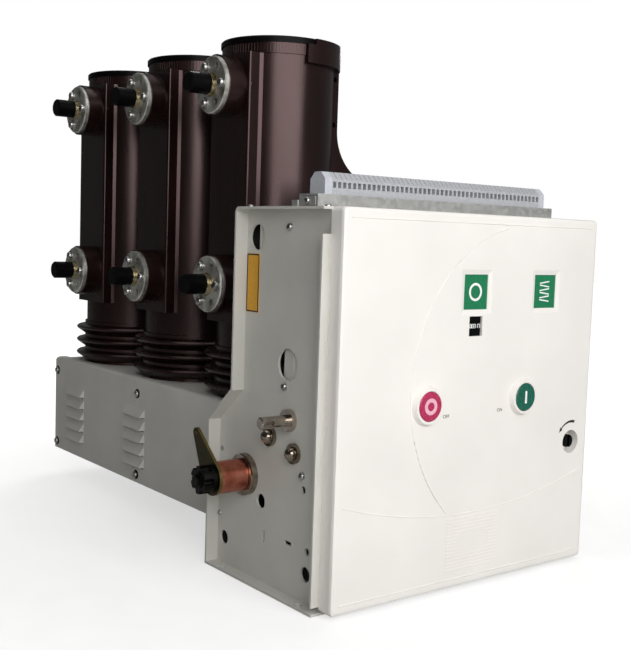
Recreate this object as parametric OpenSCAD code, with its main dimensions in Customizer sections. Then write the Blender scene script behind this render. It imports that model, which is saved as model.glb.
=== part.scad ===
// Indoor vacuum circuit breaker for side mounting: a drive box in front and
// three insulating pole housings in a row on a long base behind it.
// The front cover faces -Y, the pole row runs along +Y, the terminals point to -X.
// The origin lies in the foot face of the drive box, at the middle of its floor plate.

/* [Drive box] */
// Width over the outward flanges of the two side plates
box_w = 452; // [420:1:500]
// Height of the side plates
box_h = 456; // [430:1:500]
// Depth of the box at its foot
box_foot_d = 226; // [210:1:240]
// Depth of the box above the slope of its rear edge
box_top_d = 175; // [150:1:190]
// Height at which the rear edge starts to slope outward
slope_top_z = 233; // [222:1:250]
// Height at which the slope ends
slope_bottom_z = 189; // [160:1:195]
// Thickness of the side plates
plate_t = 3; // [2:0.5:4]
// Width of the flanges outside the plate
flange_w = 17; // [14:1:22]
// Thickness of the floor, rear and top sheets
sheet_t = 2; // [1.5:0.5:3]
// Outer radius of a side plate's rear top corner
plate_corner_r = 8; // [5:1:14]
// Cut-back of the front flange at the top
front_notch_top = 30; // [10:1:40]
// Cut-back of the front flange at the foot
front_notch_low = 10; // [6:1:20]
// Radius of the foot bolt holes
foot_hole_r = 4.5; // [3.5:0.5:6]
// Distance between the foot bolt holes along the depth
foot_hole_pitch = 160; // [120:5:180]

/* [Side plate openings] */
// Radius of the upper round opening
upper_port_r = 15.5; // [10:0.5:20]
// Distance of the upper round opening behind the box's middle
upper_port_y = 37; // [30:1:40]
// Height of the upper round opening
upper_port_z = 420; // [400:1:430]
// Radius of the lower round opening
lower_port_r = 19; // [12:0.5:24]
// Distance of the lower round opening in front of the box's middle, as a negative number
lower_port_y = -32; // [-45:1:0]
// Height of the lower round opening
lower_port_z = 273; // [262:1:300]
// Radius of the larger fixing holes
big_hole_r = 9; // [6:0.5:11]
// Radius of the smaller fixing holes
small_hole_r = 4.5; // [2.5:0.5:6]
// Width of the key slots
key_slot_w = 4.5; // [2:0.5:6]
// Length of the key slots
key_slot_l = 14; // [8:1:18]

/* [Mechanism frame] */
// Distance from the side plate to the mechanism plate
mech_gap = 34; // [25:1:50]
// Thickness of a mechanism plate
mech_t = 5; // [4:0.5:8]
// Depth of a mechanism plate
mech_d = 140; // [110:1:150]
// Height of a mechanism plate
mech_h = 430; // [300:1:445]

/* [Front cover] */
// Distance of the cover's sides from the edges of the side plates
cover_margin = 11; // [6:1:20]
// Distance of the cover's lower edge from the foot face
cover_z = 4; // [2:1:20]
// Depth of the cover
cover_d = 22; // [20:1:30]
// Wall of the cover
cover_t = 3; // [2:0.5:4]
// Corner radius of the cover seen from the front
cover_corner_r = 5; // [4:1:20]
// Rounding of the front edge
cover_edge_r = 4; // [2:0.5:5]
// Radius of the half-round beads on the cover's face
bead_r = 0.8; // [0.5:0.1:1.2]
// Distance of the beads' ends from the cover's edge
bead_margin = 11; // [8:1:20]
// Radius of the wide bead that hangs across the cover
wide_bead_r = 663; // [500:1:900]
// Height of the wide bead's lowest point above the cover's lower edge
wide_bead_z = 90; // [85:1:100]
// Radius of the round bead to the left of the indicators
round_bead_r = 201; // [180:1:210]
// Distance of the round bead's middle from the cover's middle
round_bead_x = 93; // [85:1:110]
// Distance of the round bead's middle below the cover's top
round_bead_drop = 210; // [205:1:230]
// Number of ribs on the ribbed panel
rib_n = 16; // [8:1:17]
// Distance between the ribs
rib_pitch = 4.2; // [3:0.1:4.5]
// Length of the ribs
rib_l = 88; // [60:1:120]
// Thickness of a rib
rib_t = 1.4; // [0.8:0.1:2]
// Height of a rib above the cover's face
rib_h = 0.6; // [0.4:0.1:1]
// Distance of the ribbed panel from the cover's middle
rib_x = 3; // [-10:1:15]
// Distance of the top rib below the wide bead
rib_drop = 4; // [3:1:8]
// Width of the plain patch in the ribbed panel
patch_w = 54; // [30:1:58]
// Height of the plain patch in the ribbed panel
patch_h = 24; // [16:1:30]
// Corner radius of the plain patch
patch_r = 10; // [3:1:15]

/* [Buttons and indicators] */
// Radius of the push buttons
button_r = 17.5; // [12:0.5:19]
// Clearance round a button or a shaft in its hole
run_gap = 0.5; // [0.3:0.1:0.8]
// Half the distance between the two buttons
button_x = 82; // [70:1:90]
// Height of the buttons
button_z = 231; // [215:1:240]
// How far a button stands out of its ring
button_out = 1; // [0.5:0.5:4]
// Chamfer of a button's front edge
button_chamfer = 1; // [0.5:0.5:2]
// Width of the raised ring round a button, at its foot
ring_w = 6.5; // [5:0.5:8]
// How much narrower the ring is at its front
ring_taper = 3; // [1:0.5:4]
// Height of the raised ring round a button
ring_h = 6; // [3:0.5:7]
// Width of an indicator window
window_w = 40; // [30:1:48]
// Height of an indicator window
window_h = 42; // [30:1:48]
// Distance of the indicator windows below the cover's top
window_drop = 72; // [50:1:80]
// Width of the bevel round an indicator window
bevel_w = 6; // [3:0.5:7]
// Depth of the bevel round an indicator window
bevel_d = 2; // [1:0.5:2]
// Middle of the switch position window
position_x = -7; // [-20:1:10]
// Middle of the spring state window
spring_x = 118; // [105:1:135]
// Width of the counter window
counter_w = 22; // [16:1:30]
// Height of the counter window
counter_h = 24; // [10:1:26]
// Distance of the counter window below the position window
counter_gap = 8; // [8:1:14]
// Margin of an indicator plate round its window
indicator_margin = 4; // [3:0.5:4]
// Thickness of an indicator plate
indicator_t = 3; // [2:0.5:5]
// Depth of the counter's case
counter_d = 14; // [8:1:24]

/* [Charging shaft] */
// Radius of the crank cup
cup_r = 15.5; // [13:0.5:18]
// Depth of the crank cup
cup_d = 16; // [12:1:24]
// Distance of the cup's middle from the cover's side
cup_edge = 33; // [25:1:45]
// Height of the cup
cup_z = 164; // [150:1:180]
// Radius of the charging shaft
charge_r = 8.5; // [5:0.5:9]
// Length of the charging shaft
charge_l = 60; // [50:1:90]
// Width of the drive slot in the end of the charging shaft
charge_slot_w = 4; // [3:0.5:6]
// Depth of the drive slot
charge_slot_d = 6; // [4:0.5:8]

/* [Interlock shaft] */
// Distance of the shaft behind the box's middle
shaft_y = 48; // [40:1:55]
// Height of the shaft
shaft_z = 128; // [110:1:140]
// Radius of the copper sleeve
sleeve_r = 20; // [16:0.5:21]
// Length of the sleeve outside the bearing flange
sleeve_l = 38; // [30:1:55]
// Radius of the shaft's journal inside the box
journal_r = 12.5; // [9:0.5:14]
// Radial clearance of the journal in its bearing
journal_gap = 0.05; // [0.03:0.01:0.1]
// Radius of the bearing flange
bearing_r = 26; // [23:0.5:29]
// Thickness of the bearing flange
bearing_t = 9; // [3:0.5:10]
// Chamfer of the bearing flange
bearing_chamfer = 1.5; // [0.5:0.5:2]
// Radius of the spigot that carries the lever
spigot_r = 9; // [7:0.5:11]
// Thickness of the lever
lever_t = 4; // [3:0.5:6]
// Radius of the lever round its hub
lever_hub_r = 21; // [18:0.5:24]
// Radius of the lever round its eye
lever_eye_r = 6.5; // [5.5:0.5:9]
// Radius of the eye
eye_r = 3; // [2:0.5:4]
// Distance from the shaft to the eye
lever_l = 62; // [50:1:75]
// Lean of the lever to the rear
lever_lean = 37; // [20:1:45]
// Radius of the notched hub nut
nut_r = 17; // [16:0.5:19]
// Thickness of the hub nut
nut_t = 18; // [14:1:24]
// Number of round notches in the hub nut
notch_n = 6; // [4:1:8]
// Radius of a notch in the hub nut
notch_r = 4; // [2:0.5:4.5]
// Length of a notch in the hub nut
notch_l = 12; // [6:1:14]

/* [Lock pin and plate bolts] */
// Radius of the lock pin
lock_r = 7; // [4:0.5:8]
// Length of the lock pin outside the box
lock_l = 43; // [30:1:50]
// Radius of the lock pin's collar
lock_collar_r = 13.5; // [10:0.5:16]
// Thickness of the lock pin's collar
collar_t = 6; // [3:0.5:8]
// Chamfer of the lock pin's end
lock_chamfer = 1.5; // [0.5:0.5:3]
// Radius of the cross hole in the lock pin
lock_hole_r = 2.5; // [1.5:0.5:3]
// Radius of the plate bolts
dome_r = 12; // [10:0.5:13]
// Height of the plate bolts
dome_h = 13; // [6:0.5:15]

/* [Terminal rail] */
// Length of the rail bracket
rail_l = 390; // [340:1:430]
// Distance of the bracket's left end from the flange's edge
rail_left = 7; // [0:1:20]
// Depth of the rail bracket
rail_d = 35; // [32:1:60]
// Height of the rail bracket
rail_h = 14; // [10:1:20]
// Distance of the bracket's front from the box's front
rail_front = 20; // [12:1:40]
// Length of the row of terminals
strip_l = 346; // [300:1:365]
// Depth of a terminal
strip_d = 27; // [26:1:30]
// Height of a terminal
strip_h = 25; // [20:1:32]
// Height of a terminal's upright front
strip_front = 17; // [15:1:18]
// Depth of the slanted edges at the top of a terminal
strip_slope = 8; // [5:1:12]
// Number of terminals in the row
terminal_n = 48; // [20:1:50]
// Width of the groove between two terminals
terminal_gap = 0.7; // [0.4:0.1:1]
// Width of a terminal's wire opening
entry_w = 4.4; // [3:0.1:5]
// Height of a terminal's wire opening
entry_h = 6.5; // [4:0.5:7]
// Depth of a terminal's wire opening
entry_d = 8; // [4:0.5:12]
// Distance of the wire openings below the slanted edge
entry_drop = 3; // [2:0.5:5]
// Radius of a terminal's screw hole
screw_hole_r = 1.8; // [1.2:0.1:2]
// Depth of a terminal's screw hole
screw_hole_d = 5; // [3:0.5:6]
// Thickness of an end clamp
clamp_t = 10; // [6:1:11]

/* [Base] */
// Width of the base
base_w = 202; // [190:1:240]
// Height of the base's top
base_top_z = 200; // [192:1:215]
// Height of the base's underside
base_bottom_z = 42; // [30:1:70]
// Length of the base behind the drive box
base_l = 577; // [560:1:640]
// Thickness of the base's top plate
base_top_t = 4; // [3:0.5:6]
// Outer radius of the top plate's bend down to the end plate
base_corner_r = 12; // [10:1:20]
// Outer radius of the bend at the top of a side cover
bend_r = 6; // [4:0.5:10]
// Width of the lip that a side cover lays over the top plate
lip_w = 14; // [10:1:16]
// Radius of the base's fixing holes
base_hole_r = 6.5; // [5:0.5:9]
// Distance between the base's fixing holes across
base_hole_w = 150; // [120:5:160]
// Distance between the base's fixing holes along the row
base_hole_l = 480; // [400:10:500]

/* [Louvres] */
// Width of a louvre
louvre_w = 66; // [50:1:80]
// Height of a louvre
louvre_h = 14; // [10:1:16]
// Depth of a louvre's hood
louvre_d = 6; // [4:0.5:9]
// Distance between louvres
louvre_pitch = 19; // [17:1:22]
// Number of louvres in a group
louvre_n = 5; // [3:1:5]
// Height of the top edge of the first louvre
louvre_top_z = 158; // [140:1:170]
// Distance of the first group from the front of the base
louvre_first = 283; // [240:1:290]
// Distance between the two groups
louvre_group_pitch = 212; // [180:1:230]

/* [Poles] */
// Distance between the poles
pole_pitch = 210; // [205:1:230]
// Distance of the pole row's axis from the box's middle
pole_x = 82; // [70:1:95]
// Distance of the first pole behind the box's middle
pole_first_y = 184; // [182:1:200]
// Height of a pole's top above its upper terminal
pole_over = 64; // [62:1:80]
// Radius of the tubular housing
pole_r = 76; // [70:1:80]
// Radius of the band under the cap
band_r = 78; // [74:1:82]
// Height of the band under the cap
band_h = 14; // [10:1:20]
// Radius of the cap
cap_r = 80; // [76:1:84]
// Height of the cap
cap_h = 8; // [6:1:14]
// Width of the cap's raised rim
cap_rim_w = 10; // [6:1:16]
// Depth of the hollow inside the rim
cap_dish = 4; // [2:0.5:5]
// Chamfer of the cap
cap_chamfer = 1.5; // [0.5:0.5:3]
// Distance of the terminal side's flat from the axis
pad_reach = 79; // [77:1:84]
// Half the width of the terminal side's flat
pad_half = 46; // [42:1:52]
// How far the flat runs on below the lower boss
pad_tail = 12; // [6:1:20]
// Corner radius of the terminal side's flat
pad_corner_r = 3; // [2:1:12]
// Size of the slope where the flat's sides run into the tube
pad_slope = 6; // [2:1:8]
// Radius of the half shoulder under the cap, on the side away from the terminals
shoulder_r = 84; // [80:1:88]
// Height of the half shoulder
shoulder_h = 24; // [18:1:40]
// How far the half shoulder runs past the axis towards the terminals
shoulder_past = 12; // [0:1:20]
// Thickness of a rear lip
lip_t = 10; // [8:1:14]
// Reach of the rear lips near the top
lip_reach = 69; // [68:1:84]
// Reach of the rear lips below the flare
flare_reach = 112; // [100:1:120]
// Radius of the flare
flare_r = 70; // [60:1:120]
// Height above the base at which the flare starts
flare_z = 370; // [330:1:390]
// Radius of the holes in the rear lips
lip_hole_r = 3.5; // [3:0.5:4]
// Radius of the sheds
shed_r = 93; // [88:1:96]
// Radius of the neck between the sheds
neck_r = 79; // [77:1:82]
// Distance between the sheds
shed_pitch = 21.5; // [19:0.5:24]
// Number of sheds
shed_n = 3; // [2:1:3]
// Height of the lowest shed's edge above the base
shed_first = 13; // [12:0.5:20]
// Thickness of a shed at its edge
shed_edge = 5; // [3:0.5:6]
// Rise of a shed's upper face from its edge to the neck
shed_rise = 3; // [2:0.5:5]
// Depth of the hollow under a shed
shed_under = 9; // [6:0.5:10]

/* [Terminals] */
// Distance between the upper and the lower terminal
terminal_span = 262; // [240:1:280]
// Height of the lower terminal above the base
terminal_low = 155; // [140:1:165]
// Distance from the pole's axis to the contact face
terminal_reach = 109; // [104:1:125]
// Radius of the moulded boss
boss_r = 40; // [38:0.5:44]
// Radius of the contact disc
disc_r = 37.5; // [32:0.5:38]
// Thickness of the contact disc
disc_t = 6; // [5:0.5:14]
// Chamfer of the contact disc
disc_chamfer = 1.5; // [1:0.5:2.5]
// Radius of the circle of bolt holes
disc_bolt_r = 27; // [22:0.5:30]
// Radius of a bolt hole
disc_hole_r = 4.5; // [3:0.5:5]
// Number of open bolt holes
disc_hole_n = 3; // [3:1:6]
// Angle of the first bolt hole, from straight down towards the rear
disc_turn = 90; // [0:5:120]
// Radius of the collar in front of the disc
collar_r = 14.5; // [14:0.5:18]
// Length of the collar
collar_l = 6; // [5:0.5:14]
// Number of rings on the collar
collar_ring_n = 3; // [2:1:4]
// Width of the grooves between the collar's rings
collar_groove_w = 0.8; // [0.6:0.1:1.2]
// Depth of the grooves between the collar's rings
collar_groove_d = 1; // [0.5:0.5:2]
// Radius of the stud cap
stud_r = 13.5; // [10:0.5:14]
// Length of the stud cap
stud_l = 29; // [24:1:45]
// Chamfer of the stud cap's end
stud_chamfer = 2; // [1:0.5:4]

/* [Hidden] */
$fn = 64;
// Overlap that lets a cut run clear of a face
cut = 1;
// Depth and height of the fixing holes in the left side plate
big_holes = [[15, 101], [95, 36], [-78, 36]];
small_holes = [[-80, 63], [-70, 133]];
// Depth, height and turn of the key slots in the left side plate
slots_at = [[7, 59, 0], [-43, 64, 90]];
// Depth and height of the lock pin and the plate bolts
lock_at = [-40, 209];
bolts_at = [[-2, 184], [-51, 172]];
// Angles between which the round bead runs
round_bead_start = 104;
round_bead_end = 227;

paint = "#d8d6d0";
cover_white = "#efeeea";
epoxy = "#2a1718";
black = "#141414";
steel = "#b9bcbf";
silver = "#d5d7da";
copper = "#b5694a";
zinc_yellow = "#8f8344";
blue_grey = "#b9c4cc";
galvanised = "#a9abaa";

front_y = -box_foot_d / 2;
foot_y = box_foot_d / 2;
upper_y = front_y + box_top_d;
edge_x = box_w / 2;
plate_x = edge_x - flange_w;
inner_x = plate_x - plate_t;
inner_w = 2 * inner_x;
face_y = front_y - cover_d;
slope_angle = atan2(slope_top_z - slope_bottom_z, foot_y - upper_y);
cover_w = box_w - 2 * cover_margin;
cover_h = box_h - cover_z;
bead_x = cover_w / 2 - bead_margin;
window_top_z = box_h - window_drop;
counter_top_z = window_top_z - window_h - counter_gap;
cup_x = cover_w / 2 - cup_edge;
base_y = foot_y;
base_rear_y = base_y + base_l;
base_x = -pole_x;
pole_foot_z = base_top_z;
pole_h = terminal_low + terminal_span + pole_over;
pole_top_z = pole_foot_z + pole_h;
lower_z = pole_foot_z + terminal_low;
upper_z = lower_z + terminal_span;
mech_x = inner_x - mech_gap;
lever_x = plate_x + bearing_t + sleeve_l;
rail_z = box_h + rail_h;
rail_x = -edge_x + rail_left;
rail_y = front_y + rail_front;
strip_x = rail_x + (rail_l - strip_l) / 2;
strip_y = rail_y + (rail_d - strip_d) / 2;
hole_x = edge_x - (flange_w - plate_t) / 2;

function pole_y(i) = pole_first_y + i * pole_pitch;

// Outline of a side plate in depth and height, drawn in by an inset
module side_outline(inset) {
    shift_z = inset * tan((90 - slope_angle) / 2);
    round_at = [upper_y - plate_corner_r, box_h - plate_corner_r];
    difference() {
        polygon([
            [front_y + inset, inset], [foot_y - inset, inset], [foot_y - inset, slope_bottom_z - shift_z],
            [upper_y - inset, slope_top_z - shift_z], [upper_y - inset, box_h - inset],
            [front_y + inset, box_h - inset]
        ]);
        translate(round_at) square(plate_corner_r + cut);
    }
    translate(round_at) circle(plate_corner_r - inset);
}

// Places a drawing of depth and height at x and gives it a thickness towards +X
module upright(x, t) {
    translate([x, 0, 0])
        rotate([90, 0, 90])
            linear_extrude(t) children();
}

// Rectangle with round corners
module round_rect(w, h, r) {
    translate([-w / 2 + r, -h / 2]) square([w - 2 * r, h]);
    translate([-w / 2, -h / 2 + r]) square([w, h - 2 * r]);
    for (x = [-1, 1])
        for (y = [-1, 1])
            translate([x * (w / 2 - r), y * (h / 2 - r)]) circle(r);
}

// Cylinder along +X from x
module rod_x(x, y, z, r, l) {
    translate([x, y, z]) rotate([0, 90, 0]) cylinder(r = r, h = l);
}

// Cylinder along +Y from y
module rod_y(x, y, z, r, l) {
    translate([x, y, z]) rotate([-90, 0, 0]) cylinder(r = r, h = l);
}

// Cuts at the two ends of the front flange
module front_notches() {
    translate([-edge_x - cut, front_y - cut, plate_t])
        cube([flange_w + cut, plate_t + cut, front_notch_low - plate_t]);
    translate([-edge_x - cut, front_y - cut, box_h - front_notch_top])
        cube([flange_w + cut, plate_t + cut, front_notch_top - plate_t]);
}

// Pressed side plate on the -X side with flanges turned outward, before its holes
module side_pan() {
    upright(-plate_x, plate_t) side_outline(0);
    difference() {
        upright(-edge_x, flange_w)
            difference() {
                side_outline(0);
                side_outline(plate_t);
            }
        front_notches();
    }
}

module foot_holes() {
    for (y = [-1, 1])
        translate([-hole_x, y * foot_hole_pitch / 2, -cut])
            cylinder(r = foot_hole_r, h = plate_t + 2 * cut);
}

module plate_hole(at, r) {
    rod_x(-plate_x - cut, at[0], at[1], r, plate_t + 2 * cut);
}

module plate_slot(at) {
    translate([-plate_x - cut, at[0], at[1]])
        rotate([at[2], 0, 0])
            translate([0, -key_slot_w / 2, -key_slot_l / 2])
                cube([plate_t + 2 * cut, key_slot_w, key_slot_l]);
}

module left_side_plate() {
    color(paint)
        difference() {
            side_pan();
            foot_holes();
            plate_hole([upper_port_y, upper_port_z], upper_port_r);
            plate_hole([lower_port_y, lower_port_z], lower_port_r);
            plate_hole([shaft_y, shaft_z], journal_r + run_gap);
            for (at = big_holes)
                plate_hole(at, big_hole_r);
            for (at = small_holes)
                plate_hole(at, small_hole_r);
            for (at = slots_at)
                plate_slot(at);
        }
}

module right_side_plate() {
    color(paint)
        mirror([1, 0, 0])
            difference() {
                side_pan();
                foot_holes();
            }
}

module floor_plate() {
    color(paint)
        translate([-inner_x, front_y, 0])
            cube([inner_w, box_foot_d, sheet_t]);
}

// Rear sheet inside the side plates: straight, sloped, straight again and bent forward at its top
module rear_plate() {
    color(paint)
        upright(-inner_x, inner_w)
            intersection() {
                difference() {
                    side_outline(0);
                    side_outline(sheet_t);
                }
                polygon([
                    [upper_y - plate_corner_r, box_h], [foot_y, box_h], [foot_y, sheet_t],
                    [foot_y - sheet_t, sheet_t], [foot_y - sheet_t, slope_bottom_z - sheet_t],
                    [upper_y - plate_corner_r, slope_top_z - sheet_t]
                ]);
            }
}

module top_plate() {
    color(paint)
        translate([-inner_x, front_y, box_h - sheet_t])
            cube([inner_w, box_top_d - plate_corner_r, sheet_t]);
}

// Two upright plates inside the box that carry the shafts
module mechanism_frame() {
    color(galvanised)
        for (side = [0, 1])
            mirror([side, 0, 0])
                difference() {
                    translate([-mech_x, upper_y - sheet_t - mech_d, sheet_t])
                        cube([mech_t, mech_d, mech_h]);
                    rod_x(-mech_x - cut, shaft_y, shaft_z, journal_r + journal_gap, mech_t + 2 * cut);
                }
}

// Slab of the cover's outline, drawn from y towards the back
module cover_slab(y, inset, depth) {
    translate([0, y + depth, cover_z + cover_h / 2])
        rotate([90, 0, 0])
            linear_extrude(depth)
                round_rect(cover_w - 2 * inset, cover_h - 2 * inset, cover_corner_r - inset / 2);
}

module window_cut(x, top, w, h) {
    translate([x - w / 2, face_y - cut, top - h]) cube([w, cover_t + 2 * cut, h]);
}

// Bevel that widens a window towards the cover's face
module window_bevel(x, top, w, h) {
    a = w / 2;
    b = h / 2;
    wide_a = a + bevel_w;
    wide_b = b + bevel_w;
    translate([x, face_y, top - b])
        intersection() {
            translate([0, 0, -wide_b])
                linear_extrude(2 * wide_b)
                    polygon([
                        [-wide_a, -cut], [wide_a, -cut], [wide_a, 0],
                        [a, bevel_d], [-a, bevel_d], [-wide_a, 0]
                    ]);
            upright(-wide_a, 2 * wide_a)
                polygon([
                    [-cut, -wide_b], [-cut, wide_b], [0, wide_b], [bevel_d, b], [bevel_d, -b], [0, -wide_b]
                ]);
        }
}

// Raised ring round a button
module button_ring(x) {
    foot_r = button_r + ring_w;
    translate([x, face_y - ring_h, button_z])
        rotate([-90, 0, 0])
            rotate_extrude()
                polygon([
                    [0, 0], [foot_r - ring_taper, 0], [foot_r, ring_h],
                    [foot_r, ring_h + cover_t], [0, ring_h + cover_t]
                ]);
}

// Half-round bead on the cover's face along an arc round a point of width and height
module arc_bead(at, r, from, to) {
    translate([at[0], face_y, at[1]])
        rotate([90, 0, 0])
            rotate([0, 0, from])
                rotate_extrude(angle = to - from) translate([r, 0]) circle(bead_r, $fn = 16);
}

// Straight half-round bead across the cover's face
module line_bead(z) {
    rod_x(-bead_x, face_y, z, bead_r, 2 * bead_x, $fn = 16);
}

// Low ribs under the wide bead, with a plain patch in their middle
module ribbed_panel() {
    top_z = cover_z + wide_bead_z - rib_drop;
    middle_z = top_z - (rib_n - 1) * rib_pitch / 2;
    difference() {
        for (i = [0 : rib_n - 1])
            translate([rib_x - rib_l / 2, face_y - rib_h, top_z - i * rib_pitch - rib_t])
                cube([rib_l, rib_h + cover_t / 2, rib_t]);
        translate([rib_x, face_y + cover_t, middle_z])
            rotate([90, 0, 0])
                linear_extrude(cover_t + rib_h + cut) round_rect(patch_w, patch_h, patch_r);
    }
}

module cover_relief() {
    wide_turn = asin(bead_x / wide_bead_r);
    arc_bead([0, cover_z + wide_bead_z + wide_bead_r], wide_bead_r, 270 - wide_turn, 270 + wide_turn);
    arc_bead([round_bead_x, box_h - round_bead_drop], round_bead_r, round_bead_start, round_bead_end);
    line_bead(box_h - bead_margin);
    line_bead(cover_z + bead_margin);
    ribbed_panel();
}

module front_cover() {
    color(cover_white)
        difference() {
            union() {
                difference() {
                    hull($fn = 32) {
                        cover_slab(face_y + cover_edge_r, 0, cover_d - cover_edge_r);
                        cover_slab(face_y + cover_edge_r / 4, cover_edge_r / 4, cover_edge_r);
                        cover_slab(face_y, cover_edge_r, cover_edge_r);
                    }
                    cover_slab(face_y + cover_t, cover_t, cover_d);
                }
                cover_relief();
                for (x = [-button_x, button_x])
                    button_ring(x);
                rod_y(cup_x, face_y, cup_z, cup_r + cover_t, cup_d + cover_t);
            }
            for (x = [-button_x, button_x])
                rod_y(x, face_y - ring_h - cut, button_z, button_r + run_gap, ring_h + cover_t + 2 * cut);
            rod_y(cup_x, face_y - cut, cup_z, cup_r, cup_d + cut);
            rod_y(cup_x, face_y, cup_z, charge_r + run_gap, cup_d + cover_t + cut);
            for (x = [position_x, spring_x]) {
                window_cut(x, window_top_z, window_w, window_h);
                window_bevel(x, window_top_z, window_w, window_h);
            }
            window_cut(position_x, counter_top_z, counter_w, counter_h);
        }
}

// Button with a chamfered face and a flange behind the cover
module push_button(x, tint) {
    back = button_out + ring_h + cover_t + run_gap;
    stop_r = button_r + ring_w / 2;
    color(tint)
        translate([x, face_y - ring_h - button_out, button_z])
            rotate([-90, 0, 0])
                rotate_extrude()
                    polygon([
                        [0, 0], [button_r - button_chamfer, 0], [button_r, button_chamfer], [button_r, back],
                        [stop_r, back], [stop_r, back + sheet_t], [0, back + sheet_t]
                    ]);
}

module open_button() { push_button(-button_x, "#c2254b"); }

module close_button() { push_button(button_x, "#11603a"); }

module charging_shaft() {
    shaft_y0 = face_y + cover_t;
    color(black)
        difference() {
            rod_y(cup_x, shaft_y0, cup_z, charge_r, charge_l);
            translate([cup_x - charge_slot_w / 2, shaft_y0 - cut, cup_z - charge_r - cut])
                cube([charge_slot_w, charge_slot_d + cut, 2 * (charge_r + cut)]);
        }
}

// Plate that lies against the back of the cover behind a window
module indicator_plate(x, tint) {
    w = window_w + 2 * indicator_margin;
    h = window_h + 2 * indicator_margin;
    color(tint)
        translate([x - w / 2, face_y + cover_t, window_top_z - window_h - indicator_margin])
            cube([w, indicator_t, h]);
}

module position_indicator() { indicator_plate(position_x, "#0f6b3c"); }

module spring_indicator() { indicator_plate(spring_x, "#0f6b3c"); }

module operation_counter() {
    w = counter_w + 2 * indicator_margin;
    low = counter_top_z - counter_h - indicator_margin;
    top = window_top_z - window_h - indicator_margin;
    color(black)
        translate([position_x - w / 2, face_y + cover_t, low])
            cube([w, counter_d, top - low]);
}

module bearing_flange() {
    bore_r = journal_r + run_gap;
    color(steel)
        translate([-plate_x, shaft_y, shaft_z])
            rotate([0, -90, 0])
                rotate_extrude()
                    polygon([
                        [bore_r, 0], [bearing_r, 0], [bearing_r, bearing_t - bearing_chamfer],
                        [bearing_r - bearing_chamfer, bearing_t], [bore_r, bearing_t]
                    ]);
}

module interlock_shaft() {
    tip = run_gap + mech_t + mech_gap + plate_t + bearing_t;
    color(copper) {
        rod_x(-lever_x, shaft_y, shaft_z, sleeve_r, sleeve_l - run_gap);
        rod_x(-lever_x + cut, shaft_y, shaft_z, journal_r, sleeve_l - cut + tip);
        rod_x(-lever_x - lever_t - nut_t + cut, shaft_y, shaft_z, spigot_r, lever_t + nut_t);
    }
}

// Tapered lever with a hub at the shaft and an eye at its end
module crank_lever() {
    color(zinc_yellow)
        translate([-lever_x - lever_t, shaft_y, shaft_z])
            rotate([-lever_lean, 0, 0])
                rotate([90, 0, 90])
                    linear_extrude(lever_t)
                        difference() {
                            taper = asin((lever_hub_r - lever_eye_r) / lever_l);
                            union() {
                                circle(lever_hub_r);
                                translate([0, lever_l]) circle(lever_eye_r);
                                polygon([
                                    [-lever_hub_r * cos(taper), lever_hub_r * sin(taper)],
                                    [lever_hub_r * cos(taper), lever_hub_r * sin(taper)],
                                    [lever_eye_r * cos(taper), lever_l + lever_eye_r * sin(taper)],
                                    [-lever_eye_r * cos(taper), lever_l + lever_eye_r * sin(taper)]
                                ]);
                            }
                            circle(spigot_r + run_gap);
                            translate([0, lever_l]) circle(eye_r);
                        }
}

// Nut with round notches in its outer end
module hub_nut() {
    x0 = -lever_x - lever_t - nut_t;
    color(black)
        difference() {
            rod_x(x0, shaft_y, shaft_z, nut_r, nut_t);
            rod_x(x0 - cut, shaft_y, shaft_z, spigot_r + run_gap, nut_t + 2 * cut);
            for (i = [0 : notch_n - 1])
                rod_x(
                    x0 - cut,
                    shaft_y + nut_r * cos(i * 360 / notch_n), shaft_z + nut_r * sin(i * 360 / notch_n),
                    notch_r, notch_l + cut
                );
        }
}

module lock_pin() {
    y = lock_at[0];
    z = lock_at[1];
    color(steel)
        difference() {
            translate([-plate_x, y, z])
                rotate([0, -90, 0])
                    rotate_extrude()
                        polygon([
                            [0, 0], [lock_collar_r, 0], [lock_collar_r, collar_t], [lock_r, collar_t],
                            [lock_r, lock_l - lock_chamfer], [lock_r - lock_chamfer, lock_l], [0, lock_l]
                        ]);
            rod_y(-plate_x - lock_l + 2 * lock_r, y - lock_r - cut, z, lock_hole_r, 2 * (lock_r + cut));
        }
}

module plate_bolts() {
    seat_h = dome_h / 3;
    color(steel)
        for (at = bolts_at)
            translate([-plate_x, at[0], at[1]])
                rotate([0, -90, 0])
                    rotate_extrude()
                        union() {
                            square([dome_r, seat_h]);
                            intersection() {
                                translate([0, seat_h]) scale(dome_h - seat_h) circle(1);
                                translate([0, seat_h]) square([dome_r, dome_h]);
                            }
                        }
}

// Folded bracket that lifts the terminals over the box's top plate
module rail_bracket() {
    color(galvanised)
        translate([rail_x, 0, 0])
            upright(0, rail_l)
                difference() {
                    translate([rail_y, box_h]) square([rail_d, rail_h]);
                    translate([rail_y + sheet_t, box_h - cut])
                        square([rail_d - 2 * sheet_t, rail_h - sheet_t + cut]);
                }
}

// Section of a terminal in depth and height
module terminal_profile() {
    top_z = rail_z + strip_h;
    slant_z = rail_z + strip_front;
    polygon([
        [strip_y, rail_z], [strip_y + strip_d, rail_z], [strip_y + strip_d, slant_z],
        [strip_y + strip_d - strip_slope, top_z], [strip_y + strip_slope, top_z], [strip_y, slant_z]
    ]);
}

// Wire opening and screw hole of one terminal
module terminal_mouth() {
    translate([-entry_w / 2, -cut, strip_front - entry_drop - entry_h])
        cube([entry_w, entry_d + cut, entry_h]);
    translate([0, strip_slope + 2 * screw_hole_r, strip_h - screw_hole_d])
        cylinder(r = screw_hole_r, h = screw_hole_d + cut);
}

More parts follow.
